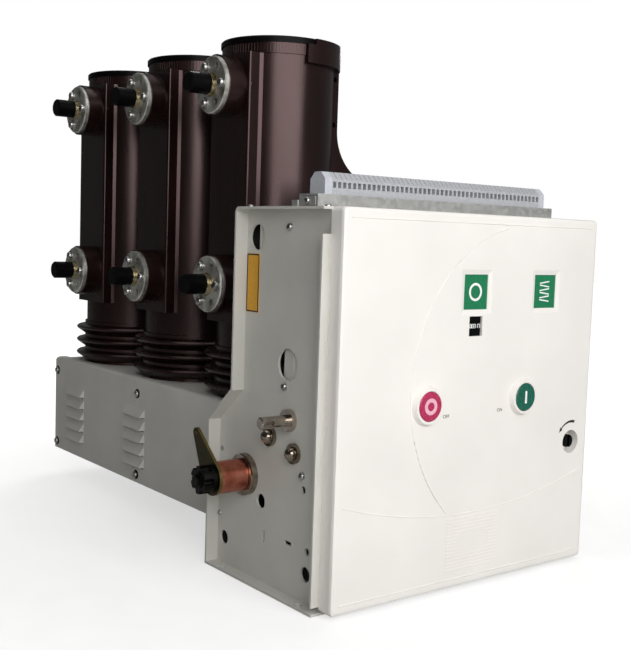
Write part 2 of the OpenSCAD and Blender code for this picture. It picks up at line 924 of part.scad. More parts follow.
module terminal_strip() {
    pitch = strip_l / terminal_n;
    color(blue_grey)
        difference() {
            translate([strip_x, 0, 0]) upright(0, strip_l) terminal_profile();
            for (i = [0 : terminal_n - 1])
                translate([strip_x + (i + 0.5) * pitch, strip_y, rail_z]) terminal_mouth();
            for (i = [1 : terminal_n - 1])
                translate([strip_x + i * pitch - terminal_gap / 2, strip_y - cut, rail_z + strip_front])
                    cube([terminal_gap, strip_d + 2 * cut, strip_h]);
        }
}

module end_clamps() {
    color(silver)
        for (x = [strip_x - clamp_t, strip_x + strip_l])
            translate([x, 0, 0]) upright(0, clamp_t) terminal_profile();
}

// Quarter of a ring at the base's rear top corner, in depth and height
module corner_bend(outer_r, inner_r) {
    translate([base_rear_y - base_corner_r, base_top_z - base_corner_r])
        difference() {
            intersection() {
                circle(outer_r);
                square(outer_r);
            }
            if (inner_r > 0)
                circle(inner_r);
        }
}

// Top plate, bent down at its rear edge
module base_top_plate() {
    color(paint)
        upright(base_x - base_w / 2 + bend_r, base_w - 2 * bend_r) {
            translate([base_y, base_top_z - base_top_t]) square([base_l - base_corner_r, base_top_t]);
            corner_bend(base_corner_r, base_corner_r - base_top_t);
        }
}

// Section of a side cover on the -X side: an upright wall, a bend and a lip over the top plate
module cover_section() {
    wall_x = base_x - base_w / 2;
    top = base_top_z + sheet_t;
    difference() {
        union() {
            translate([wall_x, base_bottom_z]) square([sheet_t, top - bend_r - base_bottom_z]);
            translate([wall_x + bend_r, top - sheet_t]) square([lip_w - bend_r, sheet_t]);
            translate([wall_x + bend_r, top - bend_r])
                intersection() {
                    circle(bend_r);
                    translate([-bend_r, 0]) square(bend_r);
                }
        }
        translate([wall_x + bend_r, top - bend_r]) circle(bend_r - sheet_t);
    }
}

// Pressed hood with sloping ends, open along its lower edge
module louvre_hood(y, z, grow) {
    w = louvre_w - 2 * grow;
    h = louvre_h - grow;
    d = louvre_d - grow;
    translate([base_x - base_w / 2 + sheet_t, y, z])
        intersection() {
            rotate([90, 0, 0])
                translate([0, 0, -w / 2])
                    linear_extrude(w)
                        polygon([
                            [0, -grow], [0, -louvre_h - grow],
                            [-d - sheet_t, -louvre_h - grow], [-sheet_t, -grow]
                        ]);
            translate([0, 0, -louvre_h - 2 * grow])
                linear_extrude(h + 3 * grow)
                    polygon([[0, -w / 2], [-sheet_t, -w / 2], [-d - sheet_t, -w / 2 + d],
                             [-d - sheet_t, w / 2 - d], [-sheet_t, w / 2], [0, w / 2]]);
        }
}

module louvres(grow) {
    first_y = base_y + louvre_first;
    for (group = [0, 1])
        for (i = [0 : louvre_n - 1])
            louvre_hood(first_y + group * louvre_group_pitch, louvre_top_z - i * louvre_pitch, grow);
}

// What is cut off a side cover to round its rear top corner
module cover_corner() {
    reach = base_corner_r + sheet_t;
    upright(base_x - base_w / 2 - cut, base_w / 2)
        difference() {
            translate([base_rear_y - base_corner_r, base_top_z - base_corner_r]) square(reach + cut);
            corner_bend(reach, 0);
        }
}

module base_cover() {
    difference() {
        union() {
            translate([0, base_rear_y, 0]) rotate([90, 0, 0]) linear_extrude(base_l) cover_section();
            louvres(0);
        }
        louvres(sheet_t);
        cover_corner();
    }
}

module base_left_cover() { color(paint) base_cover(); }

module base_right_cover() {
    color(paint)
        translate([2 * base_x, 0, 0]) mirror([1, 0, 0]) base_cover();
}

module base_end_plate() {
    color(paint)
        translate([base_x - base_w / 2 + sheet_t, base_rear_y - sheet_t, base_bottom_z])
            cube([base_w - 2 * sheet_t, sheet_t, base_top_z - base_corner_r - base_bottom_z]);
}

module base_floor() {
    color(paint)
        difference() {
            translate([base_x - base_w / 2 + sheet_t, base_y, base_bottom_z])
                cube([base_w - 2 * sheet_t, base_l - sheet_t, sheet_t]);
            for (x = [-1, 1])
                for (y = [-1, 1])
                    translate([
                        base_x + x * base_hole_w / 2,
                        base_y + base_l / 2 + y * base_hole_l / 2,
                        base_bottom_z - cut
                    ])
                        cylinder(r = base_hole_r, h = sheet_t + 2 * cut);
        }
}

// Half section of one shed: nearly flat above, drawn in below
module shed_section(z) {
    nose = shed_edge / 2;
    translate([0, z])
        polygon([
            [0, shed_edge + shed_rise], [neck_r, shed_edge + shed_rise], [shed_r - nose, shed_edge],
            [shed_r, nose], [shed_r - nose / 2, 0], [neck_r, -shed_under], [0, -shed_under]
        ]);
}

// Round part of a housing: neck, sheds, tube and band
module housing_section() {
    neck_top = shed_first + (shed_n - 1) * shed_pitch + 2 * shed_edge + shed_rise;
    square([neck_r, neck_top]);
    square([pole_r, pole_h - cap_h]);
    translate([0, pole_h - cap_h - band_h]) square([band_r, band_h]);
    for (i = [0 : shed_n - 1])
        shed_section(shed_first + i * shed_pitch);
}

// Outline of a rear lip in reach and height: straight, then flaring outward
module lip_outline() {
    top = pole_h - cap_h - band_h;
    low = terminal_low - boss_r;
    drop = sqrt(flare_r * flare_r - pow(flare_r - (flare_reach - lip_reach), 2));
    translate([0, low]) square([flare_reach, flare_z - drop - low]);
    translate([0, low]) square([lip_reach, top - low]);
    difference() {
        translate([lip_reach - cut, flare_z - drop - cut])
            square([flare_reach - lip_reach + cut, drop + cut]);
        translate([lip_reach + flare_r, flare_z]) circle(flare_r);
    }
}

// Flat of the terminal side with slopes to the tube, as seen from above
module pad_outline() {
    reach = pole_r + pad_slope;
    side = pad_half + pad_slope;
    back = sqrt(reach * reach - side * side);
    flat_end = [-back, pad_half];
    tube_end = [-back, side] * pole_r / reach;
    translate([-pad_reach / 2, 0]) round_rect(pad_reach, 2 * pad_half, pad_corner_r);
    for (turn = [0, 1])
        mirror([0, turn]) polygon([[0, 0], 2 * flat_end - tube_end, 2 * tube_end - flat_end]);
}

module pole_housing(i) {
    pad_low = terminal_low - boss_r - pad_tail;
    pad_top = pole_h - cap_h - band_h;
    shoulder_low = pole_h - cap_h - shoulder_h;
    hole_top = shoulder_low - 3 * lip_hole_r;
    hole_low = flare_z + 2 * lip_hole_r;
    hole_reach = lip_reach - 2 * lip_hole_r;
    color(epoxy)
        translate([-pole_x, pole_y(i), pole_foot_z])
            difference() {
                union() {
                    rotate_extrude($fn = 96) housing_section();
                    translate([0, 0, pad_low]) linear_extrude(pad_top - pad_low) pad_outline();
                    intersection() {
                        translate([0, 0, shoulder_low]) cylinder(r = shoulder_r, h = shoulder_h, $fn = 96);
                        translate([-shoulder_past, -shoulder_r, shoulder_low])
                            cube([shoulder_past + shoulder_r, 2 * shoulder_r, shoulder_h]);
                    }
                    for (side = [-1, 1])
                        translate([0, side * (pad_half - lip_t / 2) + lip_t / 2, 0])
                            rotate([90, 0, 0]) linear_extrude(lip_t) lip_outline();
                    for (z = [terminal_low, terminal_low + terminal_span])
                        rod_x(-terminal_reach + disc_t, 0, z, boss_r, terminal_reach - disc_t);
                }
                for (z = [hole_low, hole_top])
                    rod_y(hole_reach, -pad_half - cut, z, lip_hole_r, 2 * (pad_half + cut));
            }
}

// Cap with a chamfered rim round a shallow hollow
module pole_cap(i) {
    rim_r = cap_r - cap_rim_w;
    color(black)
        translate([-pole_x, pole_y(i), pole_top_z - cap_h])
            rotate_extrude($fn = 96)
                polygon([
                    [0, 0], [cap_r, 0], [cap_r, cap_h - cap_chamfer], [cap_r - cap_chamfer, cap_h],
                    [rim_r, cap_h], [rim_r, cap_h - cap_dish], [0, cap_h - cap_dish]
                ]);
}

// Half section of a contact disc and its ringed collar, with the face at height 0
module disc_section() {
    ring_pitch = collar_l / collar_ring_n;
    polygon([
        [0, 0], [disc_r - disc_chamfer, 0], [disc_r, disc_chamfer], [disc_r, disc_t], [0, disc_t]
    ]);
    translate([0, -collar_l]) square([collar_r - collar_groove_d, collar_l + cut]);
    for (k = [0 : collar_ring_n - 1])
        translate([0, k * ring_pitch - collar_l]) square([collar_r, ring_pitch - collar_groove_w]);
}

// Contact disc with its collar, drawn with its face towards -X
module contact_disc(y, z) {
    translate([-pole_x - terminal_reach, y, z])
        rotate([0, 90, 0])
            difference() {
                rotate_extrude() disc_section();
                for (k = [0 : disc_hole_n - 1])
                    rotate([0, 0, disc_turn + k * 360 / disc_hole_n])
                        translate([disc_bolt_r, 0, -cut]) cylinder(r = disc_hole_r, h = disc_t + 2 * cut);
            }
}

module pole_terminals(i) {
    color(silver) {
        contact_disc(pole_y(i), lower_z);
        contact_disc(pole_y(i), upper_z);
    }
}

module pole_stud_caps(i) {
    x = -pole_x - terminal_reach - collar_l - stud_l;
    color(black)
        for (z = [lower_z, upper_z])
            translate([x, pole_y(i), z])
                rotate([0, 90, 0])
                    rotate_extrude()
                        polygon([
                            [0, 0], [stud_r - stud_chamfer, 0], [stud_r, stud_chamfer],
                            [stud_r, stud_l], [0, stud_l]
                        ]);
}

left_side_plate();
right_side_plate();
floor_plate();
rear_plate();
top_plate();
mechanism_frame();
front_cover();
open_button();
close_button();
charging_shaft();
position_indicator();
spring_indicator();
operation_counter();
bearing_flange();
interlock_shaft();
crank_lever();
hub_nut();
lock_pin();
plate_bolts();
rail_bracket();
terminal_strip();
end_clamps();
base_top_plate();
base_left_cover();
base_right_cover();
base_end_plate();
base_floor();
pole_housing(0);  // pole_a_housing
pole_housing(1);  // pole_b_housing
pole_housing(2);  // pole_c_housing
pole_cap(0);  // pole_a_cap
pole_cap(1);  // pole_b_cap
pole_cap(2);  // pole_c_cap
pole_terminals(0);  // pole_a_terminals
pole_terminals(1);  // pole_b_terminals
pole_terminals(2);  // pole_c_terminals
pole_stud_caps(0);  // pole_a_stud_caps
pole_stud_caps(1);  // pole_b_stud_caps
pole_stud_caps(2);  // pole_c_stud_caps
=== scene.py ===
import math

import bmesh
import bpy
from mathutils import Matrix, Vector


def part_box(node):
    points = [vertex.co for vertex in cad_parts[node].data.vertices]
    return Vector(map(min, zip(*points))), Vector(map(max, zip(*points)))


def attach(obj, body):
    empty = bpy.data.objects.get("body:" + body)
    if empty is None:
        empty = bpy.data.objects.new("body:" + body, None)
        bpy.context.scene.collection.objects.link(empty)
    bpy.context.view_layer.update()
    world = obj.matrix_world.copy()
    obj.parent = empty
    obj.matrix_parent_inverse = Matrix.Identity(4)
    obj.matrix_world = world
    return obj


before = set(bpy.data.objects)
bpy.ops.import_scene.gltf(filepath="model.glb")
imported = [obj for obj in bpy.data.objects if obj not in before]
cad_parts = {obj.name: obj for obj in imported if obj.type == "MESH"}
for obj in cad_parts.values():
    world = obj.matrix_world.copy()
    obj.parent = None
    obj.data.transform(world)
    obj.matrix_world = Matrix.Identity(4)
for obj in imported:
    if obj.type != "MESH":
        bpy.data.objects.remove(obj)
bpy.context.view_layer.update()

mm = 0.001
staticBody = "drive_frame"
poles = ("pole_a", "pole_b", "pole_c")
left, right, front, up = (-1, 0, 0), (1, 0, 0), (0, -1, 0), (0, 0, 1)
print("frame loaded:", len(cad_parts), "nodes")

# where the photograph was taken from, and how long its lens was
viewpoint = {
    "place": (-903.0, -987.2, 421.7),  # mm
    "yaw": 37.50,      # degrees from +Y towards +X
    "pitch": -4.89,
    "roll": -1.90,
    "focal": 1022.2,   # pixels
    "frameHeight": 650.0,
    "sensor": 36.0,    # mm
    "farClip": 50.0,   # m
}


def addCamera():
    yaw, pitch, roll = (math.radians(viewpoint[k]) for k in ("yaw", "pitch", "roll"))
    ahead = Vector((math.sin(yaw) * math.cos(pitch), math.cos(yaw) * math.cos(pitch), math.sin(pitch)))
    across = Vector((math.cos(yaw), -math.sin(yaw), 0.0))
    down = ahead.cross(across)
    tiltedAcross = across * math.cos(roll) + down * math.sin(roll)
    tiltedDown = down * math.cos(roll) - across * math.sin(roll)
    data = bpy.data.cameras.new("photo_camera")
    data.sensor_width = viewpoint["sensor"]
    data.lens = viewpoint["focal"] * viewpoint["sensor"] / viewpoint["frameHeight"]
    data.clip_end = viewpoint["farClip"]
    camera = bpy.data.objects.new("photo_camera", data)
    bpy.context.scene.collection.objects.link(camera)
    turn = Matrix((tiltedAcross, -tiltedDown, -ahead)).transposed().to_4x4()
    camera.matrix_world = Matrix.Translation(Vector(viewpoint["place"]) * mm) @ turn
    bpy.context.scene.camera = camera


# soft boxes: place and target in metres, width and height in metres, power in watts
studioLights = {
    "key_window": {"place": (-0.64, -1.8, 1.0), "aim": (-0.06, 0.0, 0.3), "size": (2.4, 1.2), "power": 37.0},
    "high_fill": {"place": (0.2, -2.0, 2.3), "aim": (0.0, -0.1, 0.25), "size": (1.0, 1.0), "power": 12.5},
    "top_soft_box": {"place": (-0.1, 0.5, 2.2), "aim": (-0.1, 0.3, 0.3), "size": (1.4, 1.4), "power": 7.0},
    "rear_rim": {"place": (1.3, 1.7, 1.5), "aim": (-0.1, 0.3, 0.4), "size": (1.0, 1.0), "power": 15.0},
}


def addLights():
    for name, light in studioLights.items():
        data = bpy.data.lights.new(name, "AREA")
        data.shape = "RECTANGLE"
        data.size, data.size_y = light["size"]
        data.energy = light["power"]
        lamp = bpy.data.objects.new(name, data)
        bpy.context.scene.collection.objects.link(lamp)
        lamp.location = light["place"]
        aim = Vector(light["aim"]) - Vector(light["place"])
        lamp.rotation_euler = aim.to_track_quat("-Z", "Y").to_euler()


def linear(hexColour):
    # sRGB hex to linear light
    parts = [int(hexColour[i:i + 2], 16) / 255.0 for i in (1, 3, 5)]
    return tuple(c / 12.92 if c <= 0.04045 else ((c + 0.055) / 1.055) ** 2.4 for c in parts) + (1.0,)


def scaleFor(sizeMm):
    return 1.0 / (sizeMm * mm)  # one cell of a pattern is about this many mm wide


def waveScale(pitchMm):
    return 2 * math.pi / 20 / (pitchMm * mm)  # a wave texture turns 20 radians for each unit of its scale


def linkInto(tree, node, links):
    for name, source in links.items():
        tree.links.new(source, node.inputs[name])


# settings are a colour ramp, the node's own properties, or sockets by name, or by number where names repeat
def addNode(tree, kind, settings=None, links=None):
    node = tree.nodes.new("ShaderNode" + kind)
    for name, value in (settings or {}).items():
        if name == "ramp":
            stops = node.color_ramp.elements
            while len(stops) < len(value):
                stops.new(1.0)
            for stop, (place, colour) in zip(stops, value):
                stop.position = place
                stop.color = linear(colour)
        elif isinstance(name, str) and hasattr(node, name):
            setattr(node, name, value)
        else:
            node.inputs[name].default_value = value
    linkInto(tree, node, links or {})
    return node


def startMaterial(name, settings):
    material = bpy.data.materials.new(name)
    material.use_nodes = True
    tree = material.node_tree
    tree.nodes.clear()
    shader = addNode(tree, "BsdfPrincipled", settings)
    addNode(tree, "OutputMaterial", links={"Surface": shader.outputs[0]})
    place = addNode(tree, "TexCoord").outputs["Object"]
    return material, tree, shader, place


def addWorld():
    bpy.context.scene.view_settings.view_transform = "Standard"  # whites stay white
    world = bpy.data.worlds.new("white_studio")
    bpy.context.scene.world = world
    world.use_nodes = True
    tree = world.node_tree
    tree.nodes.clear()
    seen = addNode(tree, "Background", {"Color": linear("#FFFFFF"), "Strength": 1.0})
    heading = addNode(tree, "SeparateXYZ", links={0: addNode(tree, "TexCoord").outputs["Generated"]})
    dimming = addNode(tree, "MapRange", {"From Min": -0.9, "From Max": 0.3, "To Min": 0.03, "To Max": 0.17},
                      {"Value": heading.outputs["X"]})  # a dark flag stands on the left of the studio
    ambient = addNode(tree, "Background", {"Color": linear("#F4F6F8")}, {"Strength": dimming.outputs[0]})
    path = addNode(tree, "LightPath")
    both = addNode(tree, "MixShader", links={0: path.outputs["Is Camera Ray"], 1: ambient.outputs[0],
                                             2: seen.outputs[0]})
    addNode(tree, "OutputWorld", links={"Surface": both.outputs[0]})


# normals past these count as facing the front (along Y), or as a flat face (along X)
facingLimits = {"front": -0.5, "flat": 0.8}


# steel sheet, powder coated: an even warm grey with a faint orange peel that breaks the highlights
def powderCoatedSteel(name, paintedShade=None):
    material, tree, shader, place = startMaterial(name, {"Metallic": 0.0, "IOR": 1.5})
    cloud = addNode(tree, "TexNoise", {"Scale": scaleFor(90), "Detail": 4.0}, {"Vector": place})
    tint = addNode(tree, "ValToRGB", {"ramp": [(0.30, "#CBC9C2"), (0.70, "#D6D4CD")]},
                   {"Fac": cloud.outputs[0]})
    # peel of 1 mm, drawn at 2.2 mm so that it shows
    peel = addNode(tree, "TexNoise", {"Scale": scaleFor(2.2), "Detail": 1.0}, {"Vector": place})
    gloss = addNode(tree, "MapRange", {"To Min": 0.36, "To Max": 0.50}, {"Value": cloud.outputs[0]})
    bump = addNode(tree, "Bump", {"Strength": 0.16, "Distance": 0.4 * mm}, {"Height": peel.outputs[0]})
    colour = tint.outputs[0]
    if paintedShade:  # the side towards the front, inside the box, is coloured dark: painted shade seen through the side plate's holes
        facing = addNode(tree, "SeparateXYZ", links={0: addNode(tree, "NewGeometry").outputs["Normal"]})
        isInside = addNode(tree, "Math", {"operation": "LESS_THAN", 1: facingLimits["front"]},
                           {0: facing.outputs["Y"]})
        paintedShadeMix = addNode(tree, "Mix", {"data_type": "RGBA", 7: linear(paintedShade)},
                        {0: isInside.outputs[0], 6: colour})
        colour = paintedShadeMix.outputs[2]
    linkInto(tree, shader, {"Base Color": colour, "Roughness": gloss.outputs[0], "Normal": bump.outputs[0]})
    return material


# ABS, moulded with a fine spark texture: a soft satin skin without sharp reflections
def mouldedAbs(name, low, high, rough):
    material, tree, shader, place = startMaterial(name, {"IOR": 1.53})
    cloud = addNode(tree, "TexNoise", {"Scale": scaleFor(140), "Detail": 3.0}, {"Vector": place})
    tint = addNode(tree, "ValToRGB", {"ramp": [(0.32, low), (0.68, high)]}, {"Fac": cloud.outputs[0]})
    # grain of 0.3 mm, drawn at 1.2 mm so that it shows
    spark = addNode(tree, "TexNoise", {"Scale": scaleFor(1.2), "Detail": 2.0}, {"Vector": place})
    gloss = addNode(tree, "MapRange", {"To Min": rough - 0.05, "To Max": rough + 0.07},
                    {"Value": spark.outputs[0]})
    bump = addNode(tree, "Bump", {"Strength": 0.10, "Distance": 0.2 * mm}, {"Height": spark.outputs[0]})
    linkInto(tree, shader, {"Base Color": tint.outputs[0], "Roughness": gloss.outputs[0],
                            "Normal": bump.outputs[0]})
    return material


# epoxy resin, cast in a polished mould: dark red-brown, glossy, with faint upright flow marks
def castEpoxy():
    material, tree, shader, place = startMaterial(
        "cast_epoxy", {"IOR": 1.54, "Specular IOR Level": 0.53, "Specular Tint": linear("#FFDAD9")})
    tall = addNode(tree, "Mapping", {"Scale": (1.0, 1.0, 0.16)}, {"Vector": place})  # draws the marks upwards
    flow = addNode(tree, "TexNoise", {"Scale": scaleFor(26), "Detail": 2.0}, {"Vector": tall.outputs[0]})
    tint = addNode(tree, "ValToRGB", {"ramp": [(0.28, "#100706"), (0.55, "#180C0A"), (0.80, "#21110E")]},
                   {"Fac": flow.outputs[0]})
    gloss = addNode(tree, "MapRange", {"To Min": 0.20, "To Max": 0.36}, {"Value": flow.outputs[0]})
    skin = addNode(tree, "TexNoise", {"Scale": scaleFor(7), "Detail": 2.0}, {"Vector": tall.outputs[0]})
    bump = addNode(tree, "Bump", {"Strength": 0.06, "Distance": 0.5 * mm}, {"Height": skin.outputs[0]})
    linkInto(tree, shader, {"Base Color": tint.outputs[0], "Roughness": gloss.outputs[0],
                            "Normal": bump.outputs[0]})
    return material


# polyamide or phenolic, moulded: matt, with a speckle of glass fibre
def mouldedPolymer(name, low, high, rough, shine=0.5):
    material, tree, shader, place = startMaterial(name, {"IOR": 1.53, "Specular IOR Level": shine})
    # fibre of 0.4 mm, drawn at 1.6 mm so that it shows
    speck = addNode(tree, "TexNoise", {"Scale": scaleFor(1.6), "Detail": 3.0}, {"Vector": place})
    tint = addNode(tree, "ValToRGB", {"ramp": [(0.35, low), (0.70, high)]}, {"Fac": speck.outputs[0]})
    gloss = addNode(tree, "MapRange", {"To Min": rough - 0.06, "To Max": rough + 0.08},
                    {"Value": speck.outputs[0]})
    bump = addNode(tree, "Bump", {"Strength": 0.15, "Distance": 0.2 * mm}, {"Height": speck.outputs[0]})
    linkInto(tree, shader, {"Base Color": tint.outputs[0], "Roughness": gloss.outputs[0],
                            "Normal": bump.outputs[0]})
    return material


contactCollar = {"radius": 15.5, "roughness": -0.22}  # mm, and what it adds to the disc's roughness


# copper, turned and silver plated: pale warm metal with fine rings round the stud and a brassy collar
def silverPlatedCopper():
    material, tree, shader, place = startMaterial("silver_plated_copper", {"Metallic": 1.0})
    low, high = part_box("pole_a_terminals")
    discRadius = (high.y - low.y) / 2
    span = (high.z - low.z) - 2 * discRadius
    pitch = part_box("pole_b_terminals")[0].y - low.y
    centre = Vector((low.x, low.y + discRadius, low.z + discRadius))
    half = Vector((1.0, pitch / 2, span / 2))
    # folds all discs onto one, and measures from its centre
    local = addNode(tree, "VectorMath", {"operation": "WRAP", 1: centre + half, 2: centre - half}, {0: place})
    around = addNode(tree, "VectorMath", {"operation": "SUBTRACT", 1: centre}, {0: local.outputs[0]})
    # fine feed marks, drawn at 3 mm so that they show
    rings = addNode(tree, "TexWave", {"wave_type": "RINGS", "rings_direction": "X", "Scale": waveScale(2.969),
                                      "Distortion": 0.4, "Detail": 1.0}, {"Vector": around.outputs[0]})
    stain = addNode(tree, "TexNoise", {"Scale": scaleFor(14), "Detail": 4.0}, {"Vector": place})
    silver = addNode(tree, "ValToRGB", {"ramp": [(0.32, "#B2B0A6"), (0.62, "#ECEBE5")]},
                     {"Fac": stain.outputs[0]})
    brass = addNode(tree, "ValToRGB", {"ramp": [(0.30, "#B8AB88"), (0.65, "#DAD0B4")]},
                    {"Fac": stain.outputs[0]})
    flat = addNode(tree, "VectorMath", {"operation": "MULTIPLY", 1: (0.0, 1.0, 1.0)},
                   {0: around.outputs[0]})
    reach = addNode(tree, "VectorMath", {"operation": "LENGTH"}, {0: flat.outputs[0]})
    collar = addNode(tree, "Math", {"operation": "LESS_THAN", 1: contactCollar["radius"] * mm},
                     {0: reach.outputs["Value"]})
    tint = addNode(tree, "Mix", {"data_type": "RGBA"},
                   {0: collar.outputs[0], 6: silver.outputs[0], 7: brass.outputs[0]})
    dull = addNode(tree, "MapRange", {"To Min": 0.40, "To Max": 0.58}, {"Value": stain.outputs[0]})
    gloss = addNode(tree, "Math", {"operation": "MULTIPLY_ADD", 1: contactCollar["roughness"]},
                    {0: collar.outputs[0], 2: dull.outputs[0]})
    bump = addNode(tree, "Bump", {"Strength": 0.25, "Distance": 0.08 * mm}, {"Height": rings.outputs[0]})
    linkInto(tree, shader, {"Base Color": tint.outputs[2], "Roughness": gloss.outputs[0],
                            "Normal": bump.outputs[0]})
    return material


# steel, plated or oxidised: metal whose tone and gloss drift over a few mm, with fine tool marks
def platedSteel(name, ramp, rough, driftMm, markMm, edgeHighlight=None):
    material, tree, shader, place = startMaterial(name, {"Metallic": 1.0})
    cloud = addNode(tree, "TexNoise", {"Scale": scaleFor(driftMm), "Detail": 5.0}, {"Vector": place})
    tint = addNode(tree, "ValToRGB", {"ramp": ramp}, {"Fac": cloud.outputs[0]})
    # fine tool marks, drawn at about 1 mm so that they show
    marks = addNode(tree, "TexNoise", {"Scale": scaleFor(markMm), "Detail": 2.0}, {"Vector": place})
    gloss = addNode(tree, "MapRange", {"To Min": rough[0], "To Max": rough[1]}, {"Value": marks.outputs[0]})
    bump = addNode(tree, "Bump", {"Strength": 0.12, "Distance": 0.1 * mm}, {"Height": marks.outputs[0]})
    colour = tint.outputs[0]
    if edgeHighlight:  # the edges of a flat lever across X are coloured a brighter brass: painted highlight
        facing = addNode(tree, "SeparateXYZ", links={0: addNode(tree, "NewGeometry").outputs["Normal"]})
        flatness = addNode(tree, "Math", {"operation": "ABSOLUTE"}, {0: facing.outputs["X"]})
        isEdge = addNode(tree, "Math", {"operation": "LESS_THAN", 1: facingLimits["flat"]},
                         {0: flatness.outputs[0]})
        highlightedEdge = addNode(tree, "Mix", {"data_type": "RGBA", 7: linear(edgeHighlight)},
                        {0: isEdge.outputs[0], 6: colour})
        colour = highlightedEdge.outputs[2]
    linkInto(tree, shader, {"Base Color": colour, "Roughness": gloss.outputs[0], "Normal": bump.outputs[0]})
    return material


# steel, hot-dip galvanised: grey metal in crystal spangles of a few mm, each with its own sheen
def galvanisedSteel():
    material, tree, shader, place = startMaterial("galvanised_steel", {"Metallic": 0.7})
    spangle = addNode(tree, "TexVoronoi", {"Scale": scaleFor(6), "Randomness": 1.0}, {"Vector": place})
    tint = addNode(tree, "ValToRGB", {"ramp": [(0.20, "#B2B2B0"), (0.80, "#C3C3C1")]},
                   {"Fac": spangle.outputs["Color"]})
    gloss = addNode(tree, "MapRange", {"To Min": 0.46, "To Max": 0.62}, {"Value": spangle.outputs["Color"]})
    linkInto(tree, shader, {"Base Color": tint.outputs[0], "Roughness": gloss.outputs[0]})
    return material


# copper alloy, turned: warm red metal with fine grooves round it and a patchy tarnish
def turnedCopper():
    material, tree, shader, place = startMaterial("turned_copper", {"Metallic": 1.0})
    # feed of 0.3 mm, drawn at 2.8 mm so that it shows
    grooves = addNode(tree, "TexWave", {"wave_type": "BANDS", "bands_direction": "X",
                                        "Scale": waveScale(2.771), "Distortion": 0.6, "Detail": 1.0},
                      {"Vector": place})
    tarnish = addNode(tree, "TexNoise", {"Scale": scaleFor(16), "Detail": 5.0}, {"Vector": place})
    tint = addNode(tree, "ValToRGB", {"ramp": [(0.28, "#9E5644"), (0.55, "#C87863"), (0.78, "#DC9782")]},
                   {"Fac": tarnish.outputs[0]})
    gloss = addNode(tree, "MapRange", {"To Min": 0.26, "To Max": 0.40}, {"Value": tarnish.outputs[0]})
    bump = addNode(tree, "Bump", {"Strength": 0.22, "Distance": 0.1 * mm}, {"Height": grooves.outputs[0]})
    linkInto(tree, shader, {"Base Color": tint.outputs[0], "Roughness": gloss.outputs[0],
                            "Normal": bump.outputs[0]})
    return material


# vinyl film or screen ink: thin, even colour with a slight print grain
def printedFilm(name, low, high, rough):
    material, tree, shader, place = startMaterial(name, {"IOR": 1.5})
    # fine print grain, drawn at 3 mm so that it shows
    grain = addNode(tree, "TexNoise", {"Scale": scaleFor(3), "Detail": 3.0}, {"Vector": place})
    tint = addNode(tree, "ValToRGB", {"ramp": [(0.35, low), (0.65, high)]}, {"Fac": grain.outputs[0]})
    gloss = addNode(tree, "MapRange", {"To Min": rough - 0.04, "To Max": rough + 0.06},
                    {"Value": grain.outputs[0]})
    linkInto(tree, shader, {"Base Color": tint.outputs[0], "Roughness": gloss.outputs[0]})
    return material


# matt studio paper: pale, without shine, and lit up towards the far edges of the sweep
def studioPaper():
    material, tree, shader, place = startMaterial(
        "studio_paper", {"Roughness": 0.9, "Emission Color": linear("#FFFFFF")})
    fibre = addNode(tree, "TexNoise", {"Scale": scaleFor(40), "Detail": 4.0}, {"Vector": place})
    tint = addNode(tree, "ValToRGB", {"ramp": [(0.3, "#B6B6B4"), (0.7, "#BEBEBC")]},
                   {"Fac": fibre.outputs[0]})
    reach = addNode(tree, "VectorMath", {"operation": "LENGTH"}, {0: place})
    sweep = addNode(tree, "MapRange", {"From Min": 0.4, "From Max": 1.8, "To Min": 0.60, "To Max": 1.0},
                    {"Value": reach.outputs["Value"]})
    path = addNode(tree, "LightPath")
    glow = addNode(tree, "Math", {"operation": "MULTIPLY"},
                   {0: sweep.outputs[0], 1: path.outputs["Is Camera Ray"]})  # the glow lights nothing else
    linkInto(tree, shader, {"Base Color": tint.outputs[0], "Emission Strength": glow.outputs[0]})
    return material


